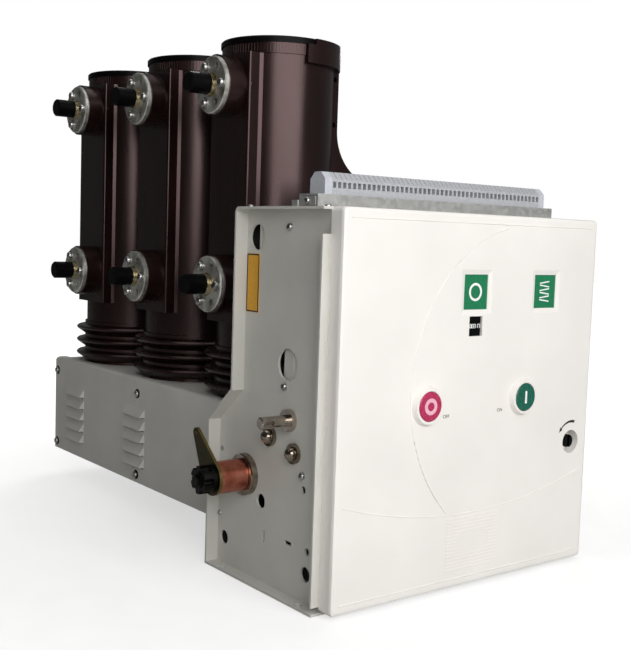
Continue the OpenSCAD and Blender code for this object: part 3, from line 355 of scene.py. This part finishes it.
finishes = {
    "paint": powderCoatedSteel("powder_coated_steel"),
    # painted shade: the rear plate's faces towards the front are coloured dark
    "rearPaintShaded": powderCoatedSteel("powder_coated_steel_painted_shade_inside", paintedShade="#2A2A29"),
    "abs": mouldedAbs("moulded_abs_white", "#EFEBE6", "#F6F2ED", rough=0.40),
    "epoxy": castEpoxy(),
    "blackPolymer": mouldedPolymer("moulded_phenolic_black", "#070707", "#0D0D0D", rough=0.34, shine=0.06),
    "silver": silverPlatedCopper(),
    "zinc": platedSteel("zinc_plated_steel", [(0.3, "#A6A5A2"), (0.7, "#C9C8C6")],
                        rough=(0.24, 0.38), driftMm=10, markMm=1.2),
    "galvanised": galvanisedSteel(),
    "blackSteel": platedSteel("black_oxide_steel", [(0.3, "#151516"), (0.7, "#2B2A29")],
                              rough=(0.34, 0.50), driftMm=8, markMm=1.0),
    "copper": turnedCopper(),
    # painted highlight: the lever's edges are coloured a brighter brass
    "yellowZinc": platedSteel("yellow_passivated_zinc",
                              [(0.25, "#323320"), (0.45, "#413C23"), (0.62, "#4A4027"), (0.8, "#393F29")],
                              rough=(0.28, 0.44), driftMm=12, markMm=1.2, edgeHighlight="#8A7A4C"),
    "nickel": platedSteel("nickel_plated_steel", [(0.3, "#786C5F"), (0.7, "#ACA092")],
                          rough=(0.12, 0.24), driftMm=12, markMm=1.0),
    # painted highlight: a lighter copy of the nickel, for the lock pin
    "nickelPaintedLit": platedSteel("nickel_steel_painted_highlight", [(0.3, "#A99F93"), (0.7, "#D6CDC2")],
                                rough=(0.16, 0.30), driftMm=12, markMm=1.0),
    "redAbs": mouldedAbs("moulded_abs_red", "#AE2750", "#BA305C", rough=0.26),
    "greenAbs": mouldedAbs("moulded_abs_green", "#0E5A48", "#146A56", rough=0.26),
    "greenFlag": printedFilm("screen_printed_green", "#12734A", "#1A7F54", rough=0.42),
    "whiteInk": printedFilm("screen_ink_white", "#F0F2EF", "#FAFBF9", rough=0.45),
    "blackInk": printedFilm("screen_ink_black", "#101012", "#1A1A1C", rough=0.50),
    "pinkInk": printedFilm("screen_ink_rose", "#EDAFC4", "#F2BDCE", rough=0.45),
    "amberFilm": printedFilm("amber_vinyl_film", "#DFA11C", "#E9AD2A", rough=0.40),
    "terminalGrey": mouldedPolymer("moulded_polyamide_grey", "#ABACB0", "#BABBBF", rough=0.50),
    "clampGrey": mouldedPolymer("moulded_polyamide_pale", "#BCBFC6", "#C9CCD2", rough=0.50),
    "paper": studioPaper(),
}
print("finishes made:", len(finishes))

nodeFinish = {
    "paint": ["left_side_plate", "right_side_plate", "floor_plate", "top_plate", "base_top_plate",
              "base_left_cover", "base_right_cover", "base_end_plate", "base_floor"],
    "rearPaintShaded": ["rear_plate"],
    "abs": ["front_cover"],
    "galvanised": ["mechanism_frame", "rail_bracket"],
    "redAbs": ["open_button"],
    "greenAbs": ["close_button"],
    "blackSteel": ["charging_shaft", "hub_nut"],
    "greenFlag": ["position_indicator", "spring_indicator"],
    "blackPolymer": ["operation_counter"] + [pole + "_cap" for pole in poles]
                    + [pole + "_stud_caps" for pole in poles],
    "nickel": ["bearing_flange", "plate_bolts"],
    "nickelPaintedLit": ["lock_pin"],
    "copper": ["interlock_shaft"],
    "yellowZinc": ["crank_lever"],
    "terminalGrey": ["terminal_strip"],
    "clampGrey": ["end_clamps"],
    "epoxy": [pole + "_housing" for pole in poles],
    "silver": [pole + "_terminals" for pole in poles],
}

edgeBreaks = {  # small radius on the edges of pressed, turned and moulded pieces, mm
    "left_side_plate": 0.5, "right_side_plate": 0.5, "base_left_cover": 0.5, "base_right_cover": 0.5,
    "base_end_plate": 0.3, "rail_bracket": 0.4, "crank_lever": 0.5, "hub_nut": 0.6, "lock_pin": 0.5,
    "bearing_flange": 0.6, "end_clamps": 0.6,
}
edgeForm = {"segments": 2, "angle": 40}  # edges sharper than this angle are broken


def dressNodes():
    for finish, names in nodeFinish.items():
        for name in names:
            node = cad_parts[name]
            node.data.materials.clear()
            node.data.materials.append(finishes[finish])
    for name, radius in edgeBreaks.items():
        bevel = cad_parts[name].modifiers.new("edge_break", "BEVEL")
        bevel.width = radius * mm
        bevel.segments = edgeForm["segments"]
        bevel.limit_method = "ANGLE"
        bevel.angle_limit = math.radians(edgeForm["angle"])
        bevel.use_clamp_overlap = True


smoothAngle = 35  # degrees, sharper edges of the added pieces stay sharp


def finishPiece(name, shape, finish, body=staticBody):
    bmesh.ops.recalc_face_normals(shape, faces=shape.faces)
    mesh = bpy.data.meshes.new(name)
    shape.to_mesh(mesh)
    shape.free()
    for face in mesh.polygons:
        face.use_smooth = True
    piece = bpy.data.objects.new(name, mesh)
    bpy.context.scene.collection.objects.link(piece)
    mesh.set_sharp_from_angle(angle=math.radians(smoothAngle))
    mesh.materials.append(finishes[finish])
    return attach(piece, body)


def placing(point, axis):
    # matrix that puts local Z along the axis, at a point given in mm
    turn = Vector(up).rotation_difference(Vector(axis)).to_matrix().to_4x4()
    return Matrix.Translation(Vector(point) * mm) @ turn


def standing(point):
    # matrix that stands local X and Y up on the cover's face as width and height, thickness to the front
    return Matrix.Translation(Vector(point) * mm) @ Matrix.Rotation(math.pi / 2, 4, "X")


def onFront(node, acrossMm=0.0, riseMm=0.0):
    # standing matrix at the middle of a node's front face, or beside it
    low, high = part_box(node)
    middle = (low + high) / 2 / mm
    return standing((middle.x + acrossMm, low.y / mm, middle.z + riseMm))


def facingLeft(point):
    # matrix that stands local X and Y up on the left plate as depth and height, thickness outwards
    turn = Matrix.Rotation(-math.pi / 2, 4, "Y") @ Matrix.Rotation(math.pi / 2, 4, "Z")
    return Matrix.Translation(Vector(point) * mm) @ turn


def polar(radius, angle):
    return radius * math.cos(angle), radius * math.sin(angle)


def domed(radius, height, shares, seat=0.0):
    # profile of a head from shares of its radius and height, above its seat
    return [(radius * part, seat + height * rise) for part, rise in shares]


def addRings(shape, profile, where, sides):
    # rings from (radius, height) pairs in mm, bottom to top, joined and closed below; gives the top ring
    rings = []
    for radius, height in profile:
        spots = [polar(radius, 2 * math.pi * k / sides) for k in range(sides)]
        rings.append([shape.verts.new(where @ (Vector((x, y, height)) * mm)) for x, y in spots])
    for lower, upper in zip(rings, rings[1:]):
        for k in range(sides):
            n = (k + 1) % sides
            shape.faces.new((lower[k], lower[n], upper[n], upper[k]))
    shape.faces.new(list(reversed(rings[0])))
    return rings[-1]


def addTurned(shape, profile, where, sides=32):
    shape.faces.new(addRings(shape, profile, where, sides))


def addPrism(shape, outline, thick, where):
    # outline in mm, extruded along local Z from 0
    low = [shape.verts.new(where @ (Vector((x, y, 0)) * mm)) for x, y in outline]
    high = [shape.verts.new(where @ (Vector((x, y, thick)) * mm)) for x, y in outline]
    count = len(outline)
    for k in range(count):
        n = (k + 1) % count
        shape.faces.new((low[k], low[n], high[n], high[k]))
    shape.faces.new(list(reversed(low)))
    shape.faces.new(high)


def addBand(shape, inner, outer, thick, where):
    # flat ring between two outlines with as many points as each other
    count = len(inner)
    loops = []
    for outline, height in ((inner, 0), (outer, 0), (outer, thick), (inner, thick)):
        loops.append([shape.verts.new(where @ (Vector((x, y, height)) * mm)) for x, y in outline])
    for a, b in zip(loops, loops[1:] + loops[:1]):
        for k in range(count):
            n = (k + 1) % count
            shape.faces.new((a[k], a[n], b[n], b[k]))


def circleOutline(radius, sides=48):
    return [polar(radius, 2 * math.pi * k / sides) for k in range(sides)]


def roundedOutline(width, height, radius, steps=6):
    points = []
    for cx, cy, start in ((1, 1, 0), (-1, 1, 90), (-1, -1, 180), (1, -1, 270)):
        for k in range(steps + 1):
            x, y = polar(radius, math.radians(start + 90 * k / steps))
            points.append((cx * (width / 2 - radius) + x, cy * (height / 2 - radius) + y))
    return points


crossHead = {  # shares of the head's radius and height
    "profile": ((1.0, 0.0), (1.0, 0.35), (0.9, 0.7), (0.66, 0.95), (0.55, 1.0)),
    "arm": 0.46, "slot": 0.12, "taper": 0.7, "floor": 0.3,
    "notch": 1.4,  # times the slot, the corner between two arms
    "sides": 24,   # two for each corner of the cross
}


def addCrossHead(shape, where, radius, height):
    # pan head with a cross recess
    sides = crossHead["sides"]
    top = addRings(shape, domed(radius, height, crossHead["profile"]), where, sides)
    arm, slot = radius * crossHead["arm"], radius * crossHead["slot"]
    notch = slot * crossHead["notch"]
    corners = []
    for quarter in range(4):
        turn = Matrix.Rotation(quarter * math.pi / 2, 2)
        corners += [turn @ Vector(spot) for spot in ((arm, -slot), (arm, slot), (notch, notch))]
    taper, depth = crossHead["taper"], height * crossHead["floor"]
    mouth = [shape.verts.new(where @ (Vector((c.x, c.y, height)) * mm)) for c in corners]
    floor = [shape.verts.new(where @ (Vector((c.x * taper, c.y * taper, depth)) * mm)) for c in corners]
    for j in range(len(corners)):
        n = (j + 1) % len(corners)
        a, b, c = (top[(2 * j - 1 + step) % sides] for step in range(3))
        shape.faces.new((a, b, mouth[j]))
        shape.faces.new((b, c, mouth[n], mouth[j]))
        shape.faces.new((mouth[j], mouth[n], floor[n], floor[j]))
    shape.faces.new(floor)


def faceOf(node, axis, end):
    # place of a node's low (0) or high (1) face along X, Y or Z (0 to 2), mm
    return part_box(node)[end][axis] / mm


# faces that pieces are set on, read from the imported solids, mm
walls = {"cover": 3.0, "sheet": 2.0, "disc": 6.0, "plate": 3.0}
plateFace = faceOf("bearing_flange", 0, 1)  # outer face of the left side plate
coverFace = faceOf("position_indicator", 1, 0) - walls["cover"]
baseLeftFace = faceOf("base_floor", 0, 0) - walls["sheet"]
baseRightFace = faceOf("base_floor", 0, 1) + walls["sheet"]
discFace = faceOf("pole_a_terminals", 0, 1) - walls["disc"]
boxTop = faceOf("top_plate", 2, 1)
print("faces:", round(plateFace, 1), round(coverFace, 1), round(baseLeftFace, 1), round(discFace, 1))

contactBolts = {
    "circle": 27.0, "angles": (30, 150, 270),  # mm and degrees on each disc
    "head": 6.2, "height": 4.6, "dome": ((1.0, 0.0), (1.0, 0.4), (0.86, 0.75), (0.55, 0.95), (0.2, 1.0)),
    "washer": 8.0, "washerFlat": 0.8, "seat": 1.0,
}


def addContactBolts():
    washer, seat = contactBolts["washer"], contactBolts["seat"]
    profile = [(washer, 0), (washer, contactBolts["washerFlat"])]
    profile += domed(contactBolts["head"], contactBolts["height"], contactBolts["dome"], seat)
    for pole in poles:
        low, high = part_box(pole + "_terminals")
        radius = (high.y - low.y) / 2
        shape = bmesh.new()
        for discZ in (low.z + radius, high.z - radius):
            for angle in contactBolts["angles"]:
                y = (low.y + high.y) / 2 / mm + contactBolts["circle"] * math.sin(math.radians(angle))
                z = discZ / mm - contactBolts["circle"] * math.cos(math.radians(angle))
                addTurned(shape, profile, placing((discFace, y, z), left))
        finishPiece(pole + "_contact_bolts", shape, "zinc")


sideFixings = {
    "screws": [(-30, 433), (-28, 247), (-68, 149)],  # depth and height on the left plate, mm
    "rivets": [(104, 150), (107, 65)],
    "screwRadius": 4.6, "screwHeight": 4.4, "rivetRadius": 3.6, "rivetHeight": 1.6, "rivetSides": 20,
    "rivetDome": ((1.0, 0.0), (0.95, 0.4), (0.75, 0.8), (0.3, 1.0)),
}


def addSideFixings():
    shape = bmesh.new()
    for y, z in sideFixings["screws"]:
        where = placing((plateFace, y, z), left)
        addCrossHead(shape, where, sideFixings["screwRadius"], sideFixings["screwHeight"])
    rivet = domed(sideFixings["rivetRadius"], sideFixings["rivetHeight"], sideFixings["rivetDome"])
    for y, z in sideFixings["rivets"]:
        addTurned(shape, rivet, placing((plateFace, y, z), left), sideFixings["rivetSides"])
    finishPiece("side_plate_fixings", shape, "zinc")


baseScrews = {
    "rows": (387, 681), "heights": (54, 178), "radius": 5.0, "height": 3.4,  # mm
    "washer": 7.0, "washerFlat": 0.8, "washerBreak": 0.5, "seat": 1.2,
}


def addBaseScrews():
    washer, seat = baseScrews["washer"], baseScrews["seat"]
    washerProfile = [(washer, 0), (washer, baseScrews["washerFlat"]),
                     (washer - baseScrews["washerBreak"], seat)]
    shape = bmesh.new()
    washers = bmesh.new()
    for y in baseScrews["rows"]:
        for z in baseScrews["heights"]:
            for face, axis in ((baseLeftFace, left), (baseRightFace, right)):
                where = placing((face, y, z), axis)
                addTurned(washers, washerProfile, where)
                seated = where @ Matrix.Translation((0, 0, seat * mm))
                addCrossHead(shape, seated, baseScrews["radius"], baseScrews["height"])
    finishPiece("base_cover_screws", shape, "zinc")
    finishPiece("base_cover_washers", washers, "blackSteel")


amberPlate = {
    "depth": (31, 57.5), "height": (329, 400), "thick": 0.6, "corner": 1.5,  # mm
    "border": 1.6, "inset": 0.4, "borderThick": 0.2, "innerCorner": 0.4, "outerCorner": 1.3,
}


def addAmberPlate():
    (fore, back), (low, high) = amberPlate["depth"], amberPlate["height"]
    wide, tall = back - fore, high - low
    where = facingLeft((plateFace, (fore + back) / 2, (low + high) / 2))
    shape = bmesh.new()
    addPrism(shape, roundedOutline(wide, tall, amberPlate["corner"]), amberPlate["thick"], where)
    finishPiece("amber_plate", shape, "amberFilm")
    inset, line = 2 * amberPlate["inset"], 2 * amberPlate["border"]
    outer = roundedOutline(wide - inset, tall - inset, amberPlate["outerCorner"])
    inner = roundedOutline(wide - inset - line, tall - inset - line, amberPlate["innerCorner"])
    shape = bmesh.new()
    addBand(shape, inner, outer, amberPlate["borderThick"],
            where @ Matrix.Translation((0, 0, amberPlate["thick"] * mm)))
    finishPiece("amber_plate_border", shape, "blackInk")


# sheet stays against the inner face of the left plate, seen through its two ports, mm
portStays = {
    "upper": {"depth": (12.0, 41.0), "height": (398.0, 442.0), "bead": 37.5, "beadLength": 28.0},
    "lower": {"depth": (-58.0, -17.5), "height": (246.0, 300.0), "bead": -36.0, "beadLength": 35.0},
}
stayForm = {"gap": 3.0, "corner": 3.0, "foot": 4.0, "footCorner": 1.0,
            "beadWidth": 2.4, "beadProud": 1.4, "beadCorner": 0.8}


def addPortStays():
    gap, foot, corner = (stayForm[k] for k in ("gap", "foot", "corner"))
    sheetBack = plateFace + walls["plate"] + gap + walls["sheet"]
    shape = bmesh.new()
    for stay in portStays.values():
        (fore, back), (low, high) = stay["depth"], stay["height"]
        wide, centreY, centreZ = back - fore, (fore + back) / 2, (low + high) / 2
        addPrism(shape, roundedOutline(wide, high - low, corner), walls["sheet"],
                 facingLeft((sheetBack, centreY, centreZ)))
        for z in (low + foot / 2, high - foot / 2):  # bent feet that reach the plate
            addPrism(shape, roundedOutline(wide - 2 * corner, foot, stayForm["footCorner"]),
                     walls["sheet"] + gap, facingLeft((sheetBack, centreY, z)))
        bead = roundedOutline(stayForm["beadWidth"], stay["beadLength"], stayForm["beadCorner"])
        addPrism(shape, bead, walls["sheet"] + stayForm["beadProud"],
                 facingLeft((sheetBack, stay["bead"], centreZ)))
    finishPiece("port_stays", shape, "paint")


buttonMarks = {"ringOuter": 9.8, "ringInner": 5.2, "barWidth": 3.4, "barHeight": 16.0, "barCorner": 1.0,
               "thick": 0.2}  # mm


def addButtonMarks():
    shape = bmesh.new()
    addBand(shape, circleOutline(buttonMarks["ringInner"]), circleOutline(buttonMarks["ringOuter"]),
            buttonMarks["thick"], onFront("open_button"))
    finishPiece("open_ring_mark", shape, "pinkInk", "open_push")
    shape = bmesh.new()
    bar = roundedOutline(buttonMarks["barWidth"], buttonMarks["barHeight"], buttonMarks["barCorner"])
    addPrism(shape, bar, buttonMarks["thick"], onFront("close_button"))
    finishPiece("close_bar_mark", shape, "whiteInk", "close_push")


# fine upright ribs under each cap, on the half without the shoulder, mm
bandRibs = {
    "count": 110, "from": 98.0,  # degrees from the shoulder's middle
    "width": 3.2, "height": 11.0, "drop": 1.5, "inset": 2.0, "proud": 0.22, "sunk": 0.4,
    "flankProud": 0.6, "flankWidth": 0.7,  # shares of the rib's height and half width
}


def addBandRibs():
    half, proud = bandRibs["width"] / 2, bandRibs["proud"]
    flank, flankHalf = bandRibs["flankProud"] * proud, bandRibs["flankWidth"] * half
    for pole in poles:
        low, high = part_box(pole + "_cap")
        axis = (low + high) / 2
        radius = (high.y - low.y) / 2 / mm - bandRibs["inset"]
        root = radius - bandRibs["sunk"]
        foot = low.z / mm - bandRibs["drop"] - bandRibs["height"]
        outline = [(root, -half), (radius + flank, -flankHalf), (radius + proud, 0),
                   (radius + flank, flankHalf), (root, half)]
        shape = bmesh.new()
        for k in range(bandRibs["count"]):
            turn = 360.0 * k / bandRibs["count"]
            if min(turn, 360.0 - turn) < bandRibs["from"]:
                continue
            turned = Matrix.Rotation(math.radians(turn), 4, "Z")
            addPrism(shape, outline, bandRibs["height"],
                     Matrix.Translation((axis.x, axis.y, foot * mm)) @ turned)
        finishPiece(pole + "_band_ribs", shape, "epoxy")


# raised edge of each shoulder, mm and degrees
capRims = {"radius": 84.0, "gap": 0.3, "from": -90.0, "to": 90.0, "low": 0.4, "steps": 36}


def addCapRims():
    start, reach, steps = capRims["from"], capRims["to"] - capRims["from"], capRims["steps"]
    turns = [math.radians(start + reach * k / steps) for k in range(steps + 1)]
    for pole in poles:
        low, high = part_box(pole + "_cap")
        axis = (low + high) / 2
        inner = (high.y - low.y) / 2 / mm + capRims["gap"]
        outline = [polar(capRims["radius"], t) for t in turns]
        outline += [polar(inner, t) for t in reversed(turns)]
        shape = bmesh.new()
        addPrism(shape, outline, (high.z - low.z) / mm - capRims["low"],
                 Matrix.Translation((axis.x, axis.y, low.z)))
        finishPiece(pole + "_cap_rim", shape, "epoxy")


# small moulded plugs on the flats' sides, mm
padPlugs = {"back": 6.0, "side": 46.0, "radius": 3.0, "proud": 0.5, "sunk": 0.3, "sides": 24,
            "dome": ((1.0, 0.6), (0.8, 1.0))}


def addPadPlugs():
    profile = [(padPlugs["radius"], -padPlugs["sunk"])]
    profile += domed(padPlugs["radius"], padPlugs["proud"], padPlugs["dome"])
    for pole in poles:
        low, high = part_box(pole + "_terminals")
        discRadius = (high.y - low.y) / 2
        x = faceOf(pole + "_cap", 0, 0) + padPlugs["back"]
        y = (low.y + high.y) / 2 / mm - padPlugs["side"]
        shape = bmesh.new()
        addTurned(shape, profile, placing((x, y, (high.z - discRadius) / mm), front), padPlugs["sides"])
        finishPiece(pole + "_pad_plug", shape, "epoxy")


flagMarks = {"ringOuter": 11.0, "ringInner": 8.0, "thick": 0.15, "coilWidth": 18.0, "coilRise": 4.6,
             "coilTurns": 6, "coilLine": 1.6, "coilSlant": 0.25}  # mm, and the slant as a share of the rise


def addFlagMarks():
    thick = flagMarks["thick"]
    shape = bmesh.new()
    addBand(shape, circleOutline(flagMarks["ringInner"]), circleOutline(flagMarks["ringOuter"]), thick,
            onFront("position_indicator"))
    finishPiece("position_ring_mark", shape, "whiteInk")
    turns, rise = flagMarks["coilTurns"], flagMarks["coilRise"]
    half, thin = flagMarks["coilWidth"] / 2, flagMarks["coilLine"] / 2
    shape = bmesh.new()
    for k in range(turns):
        z = (k - (turns - 1) / 2) * rise
        slant = (rise if k % 2 else -rise) * flagMarks["coilSlant"]
        bar = [(-half, z - slant - thin), (half, z + slant - thin),
               (half, z + slant + thin), (-half, z - slant + thin)]
        addPrism(shape, bar, thick, onFront("spring_indicator"))
    finishPiece("spring_coil_mark", shape, "whiteInk")


counterFigures = {
    "figures": "00317", "width": 2.4, "height": 4.4, "line": 0.55, "pitch": 3.5, "thick": 0.12,  # mm
    "shift": 1.2, "overlap": 0.4, "corner": 0.45, "cornerSteps": 2,  # overlap and corner: shares of the line
}
# bars of each figure: 1 top, 2 upper right, 3 lower right, 4 foot, 5 lower left, 6 upper left, 7 middle
figureBars = {"0": "123456", "1": "23", "3": "12347", "7": "123"}


def addCounterFigures():
    w, h, line = (counterFigures[k] for k in ("width", "height", "line"))
    bars = {"1": (0, h / 2, w, line), "2": (w / 2, h / 4, line, h / 2), "3": (w / 2, -h / 4, line, h / 2),
            "4": (0, -h / 2, w, line), "5": (-w / 2, -h / 4, line, h / 2),
            "6": (-w / 2, h / 4, line, h / 2), "7": (0, 0, w, line)}
    overlap, corner = line * counterFigures["overlap"], line * counterFigures["corner"]
    middle = (len(counterFigures["figures"]) - 1) / 2
    shape = bmesh.new()
    for place, figure in enumerate(counterFigures["figures"]):
        x = counterFigures["shift"] + (place - middle) * counterFigures["pitch"]
        for bar in figureBars[figure]:
            barX, barZ, barWidth, barHeight = bars[bar]
            outline = roundedOutline(barWidth + line, barHeight + overlap, corner,
                                     counterFigures["cornerSteps"])
            addPrism(shape, outline, counterFigures["thick"], onFront("operation_counter", x + barX, barZ))
    finishPiece("counter_figures", shape, "whiteInk")


turnArrow = {
    "radius": 27.0, "start": 76.0, "end": 136.0, "tip": 150.0,  # mm round the shaft, and degrees
    "line": 3.6, "thin": 1.6, "head": 5.6, "thick": 0.15, "steps": 14,
}


def addTurnArrow():
    low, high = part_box("charging_shaft")
    middle = (low + high) / 2 / mm
    radius, steps = turnArrow["radius"], turnArrow["steps"]
    start, end, tip = (math.radians(turnArrow[k]) for k in ("start", "end", "tip"))
    outer, inner = [], []
    for k in range(steps + 1):
        share = k / steps
        angle = start + share * (end - start)
        half = (turnArrow["line"] + share * (turnArrow["thin"] - turnArrow["line"])) / 2
        outer.append(polar(radius + half, angle))
        inner.append(polar(radius - half, angle))
    wide = turnArrow["head"] / 2
    head = [polar(radius + wide, end), polar(radius, tip), polar(radius - wide, end)]
    shape = bmesh.new()
    addPrism(shape, outer + head + inner[::-1], turnArrow["thick"],
             standing((middle.x, coverFace, middle.z)))
    finishPiece("charging_arrow", shape, "blackInk")


captions = {  # plain words beside the buttons, with their place across the cover and their height, mm
    "off_caption": ("OFF", -50.0, 214.0),
    "on_caption": ("ON", 42.0, 215.0),
}
captionForm = {"letter": 6.0, "extrude": 0.08, "lift": 0.05}  # mm


def addCaptions():
    for name, (word, x, z) in captions.items():
        curve = bpy.data.curves.new(name + "_letters", "FONT")
        curve.body = word
        curve.size = captionForm["letter"] * mm
        curve.align_x = "CENTER"
        curve.extrude = captionForm["extrude"] * mm
        letters = bpy.data.objects.new(name + "_letters", curve)
        bpy.context.scene.collection.objects.link(letters)
        bpy.context.view_layer.update()
        made = letters.evaluated_get(bpy.context.evaluated_depsgraph_get())
        mesh = bpy.data.meshes.new_from_object(made)
        bpy.data.objects.remove(letters)
        bpy.data.curves.remove(curve)
        shape = bmesh.new()
        shape.from_mesh(mesh)
        bpy.data.meshes.remove(mesh)
        shape.transform(standing((x, coverFace - captionForm["lift"], z)))
        finishPiece(name, shape, "blackInk")


# on the left plate's top flange, mm
flangeScrews = {"depths": (-106, 45), "in": 11.0, "radius": 4.0, "height": 2.6}


def addFlangeScrews():
    shape = bmesh.new()
    x = faceOf("left_side_plate", 0, 0) + flangeScrews["in"]
    for y in flangeScrews["depths"]:
        where = placing((x, y, boxTop), up)
        addCrossHead(shape, where, flangeScrews["radius"], flangeScrews["height"])
    finishPiece("top_flange_screws", shape, "zinc")


hubScrew = {
    "flats": 13.0, "height": 4.0, "head": ((1.0, 0.0), (1.0, 0.8), (0.86, 1.0)), "sides": 6,
    "washer": 10.5, "washerFlat": 1.2, "washerBreak": 0.4, "washerTop": 1.6,  # mm
}


def addHubScrew():
    low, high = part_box("hub_nut")
    middle = (low + high) / 2 / mm
    end = min(faceOf("hub_nut", 0, 0), faceOf("interlock_shaft", 0, 0))
    where = placing((end, middle.y, middle.z), left)
    washer, flat = hubScrew["washer"], hubScrew["washerFlat"]
    corner = hubScrew["flats"] / math.sqrt(3)
    shape = bmesh.new()
    addTurned(shape, [(washer, 0), (washer, flat), (washer - hubScrew["washerBreak"], hubScrew["washerTop"])],
              where)
    addTurned(shape, domed(corner, hubScrew["height"], hubScrew["head"], flat), where, hubScrew["sides"])
    finishPiece("hub_screw", shape, "blackSteel", "interlock")


railEnds = {
    "plate": (29.0, 11.0), "thick": 1.5, "corner": 1.5, "lift": 0.6, "screw": 4.2, "screwHeight": 3.0,  # mm
    "tab": (10.0, 12.0, 7.0), "tabCorner": 2.0, "tabOut": 2.0, "tabOverlap": 1.0,
}


def addRailEnds():
    low, high = (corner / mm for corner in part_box("rail_bracket"))
    plateWide, plateTall = railEnds["plate"]
    wide, deep, tall = railEnds["tab"]
    plates, screws = bmesh.new(), bmesh.new()
    for x, axis in ((low.x, left), (high.x, right)):
        middle = (x, (low.y + high.y) / 2, low.z + plateTall / 2 + railEnds["lift"])
        where = placing(middle, axis) @ Matrix.Rotation(math.pi / 2, 4, "Z")
        addPrism(plates, roundedOutline(plateWide, plateTall, railEnds["corner"]), railEnds["thick"], where)
        addCrossHead(screws, where @ Matrix.Translation((0, 0, railEnds["thick"] * mm)), railEnds["screw"],
                     railEnds["screwHeight"])
        tabX = x - axis[0] * (wide / 2 - railEnds["tabOut"])
        foot = Matrix.Translation(Vector((tabX, high.y + deep / 2, low.z)) * mm)
        tab = roundedOutline(wide, deep + railEnds["tabOverlap"], railEnds["tabCorner"])
        addPrism(plates, tab, tall, foot)
    finishPiece("rail_end_plates", plates, "galvanised")
    finishPiece("rail_end_screws", screws, "zinc")


floorForm = {"half": 9.0, "segments": 8, "drop": 0.5}  # m, count and mm


def addFloor():
    shape = bmesh.new()
    bmesh.ops.create_grid(shape, x_segments=floorForm["segments"], y_segments=floorForm["segments"],
                          size=floorForm["half"])
    mesh = bpy.data.meshes.new("studio_floor")
    shape.to_mesh(mesh)
    shape.free()
    mesh.materials.append(finishes["paper"])
    studioFloor = bpy.data.objects.new("studio_floor", mesh)
    bpy.context.scene.collection.objects.link(studioFloor)
    studioFloor.location.z = -floorForm["drop"] * mm


addCamera()
addLights()
addWorld()
print("camera, lights and world set")
dressNodes()
print("solids dressed")
addContactBolts()
addSideFixings()
addBaseScrews()
addAmberPlate()
addPortStays()
addButtonMarks()
addBandRibs()
addCapRims()
addPadPlugs()
addFlagMarks()
addCounterFigures()
addTurnArrow()
addCaptions()
addFlangeScrews()
addHubScrew()
addRailEnds()
print("pieces made")
addFloor()
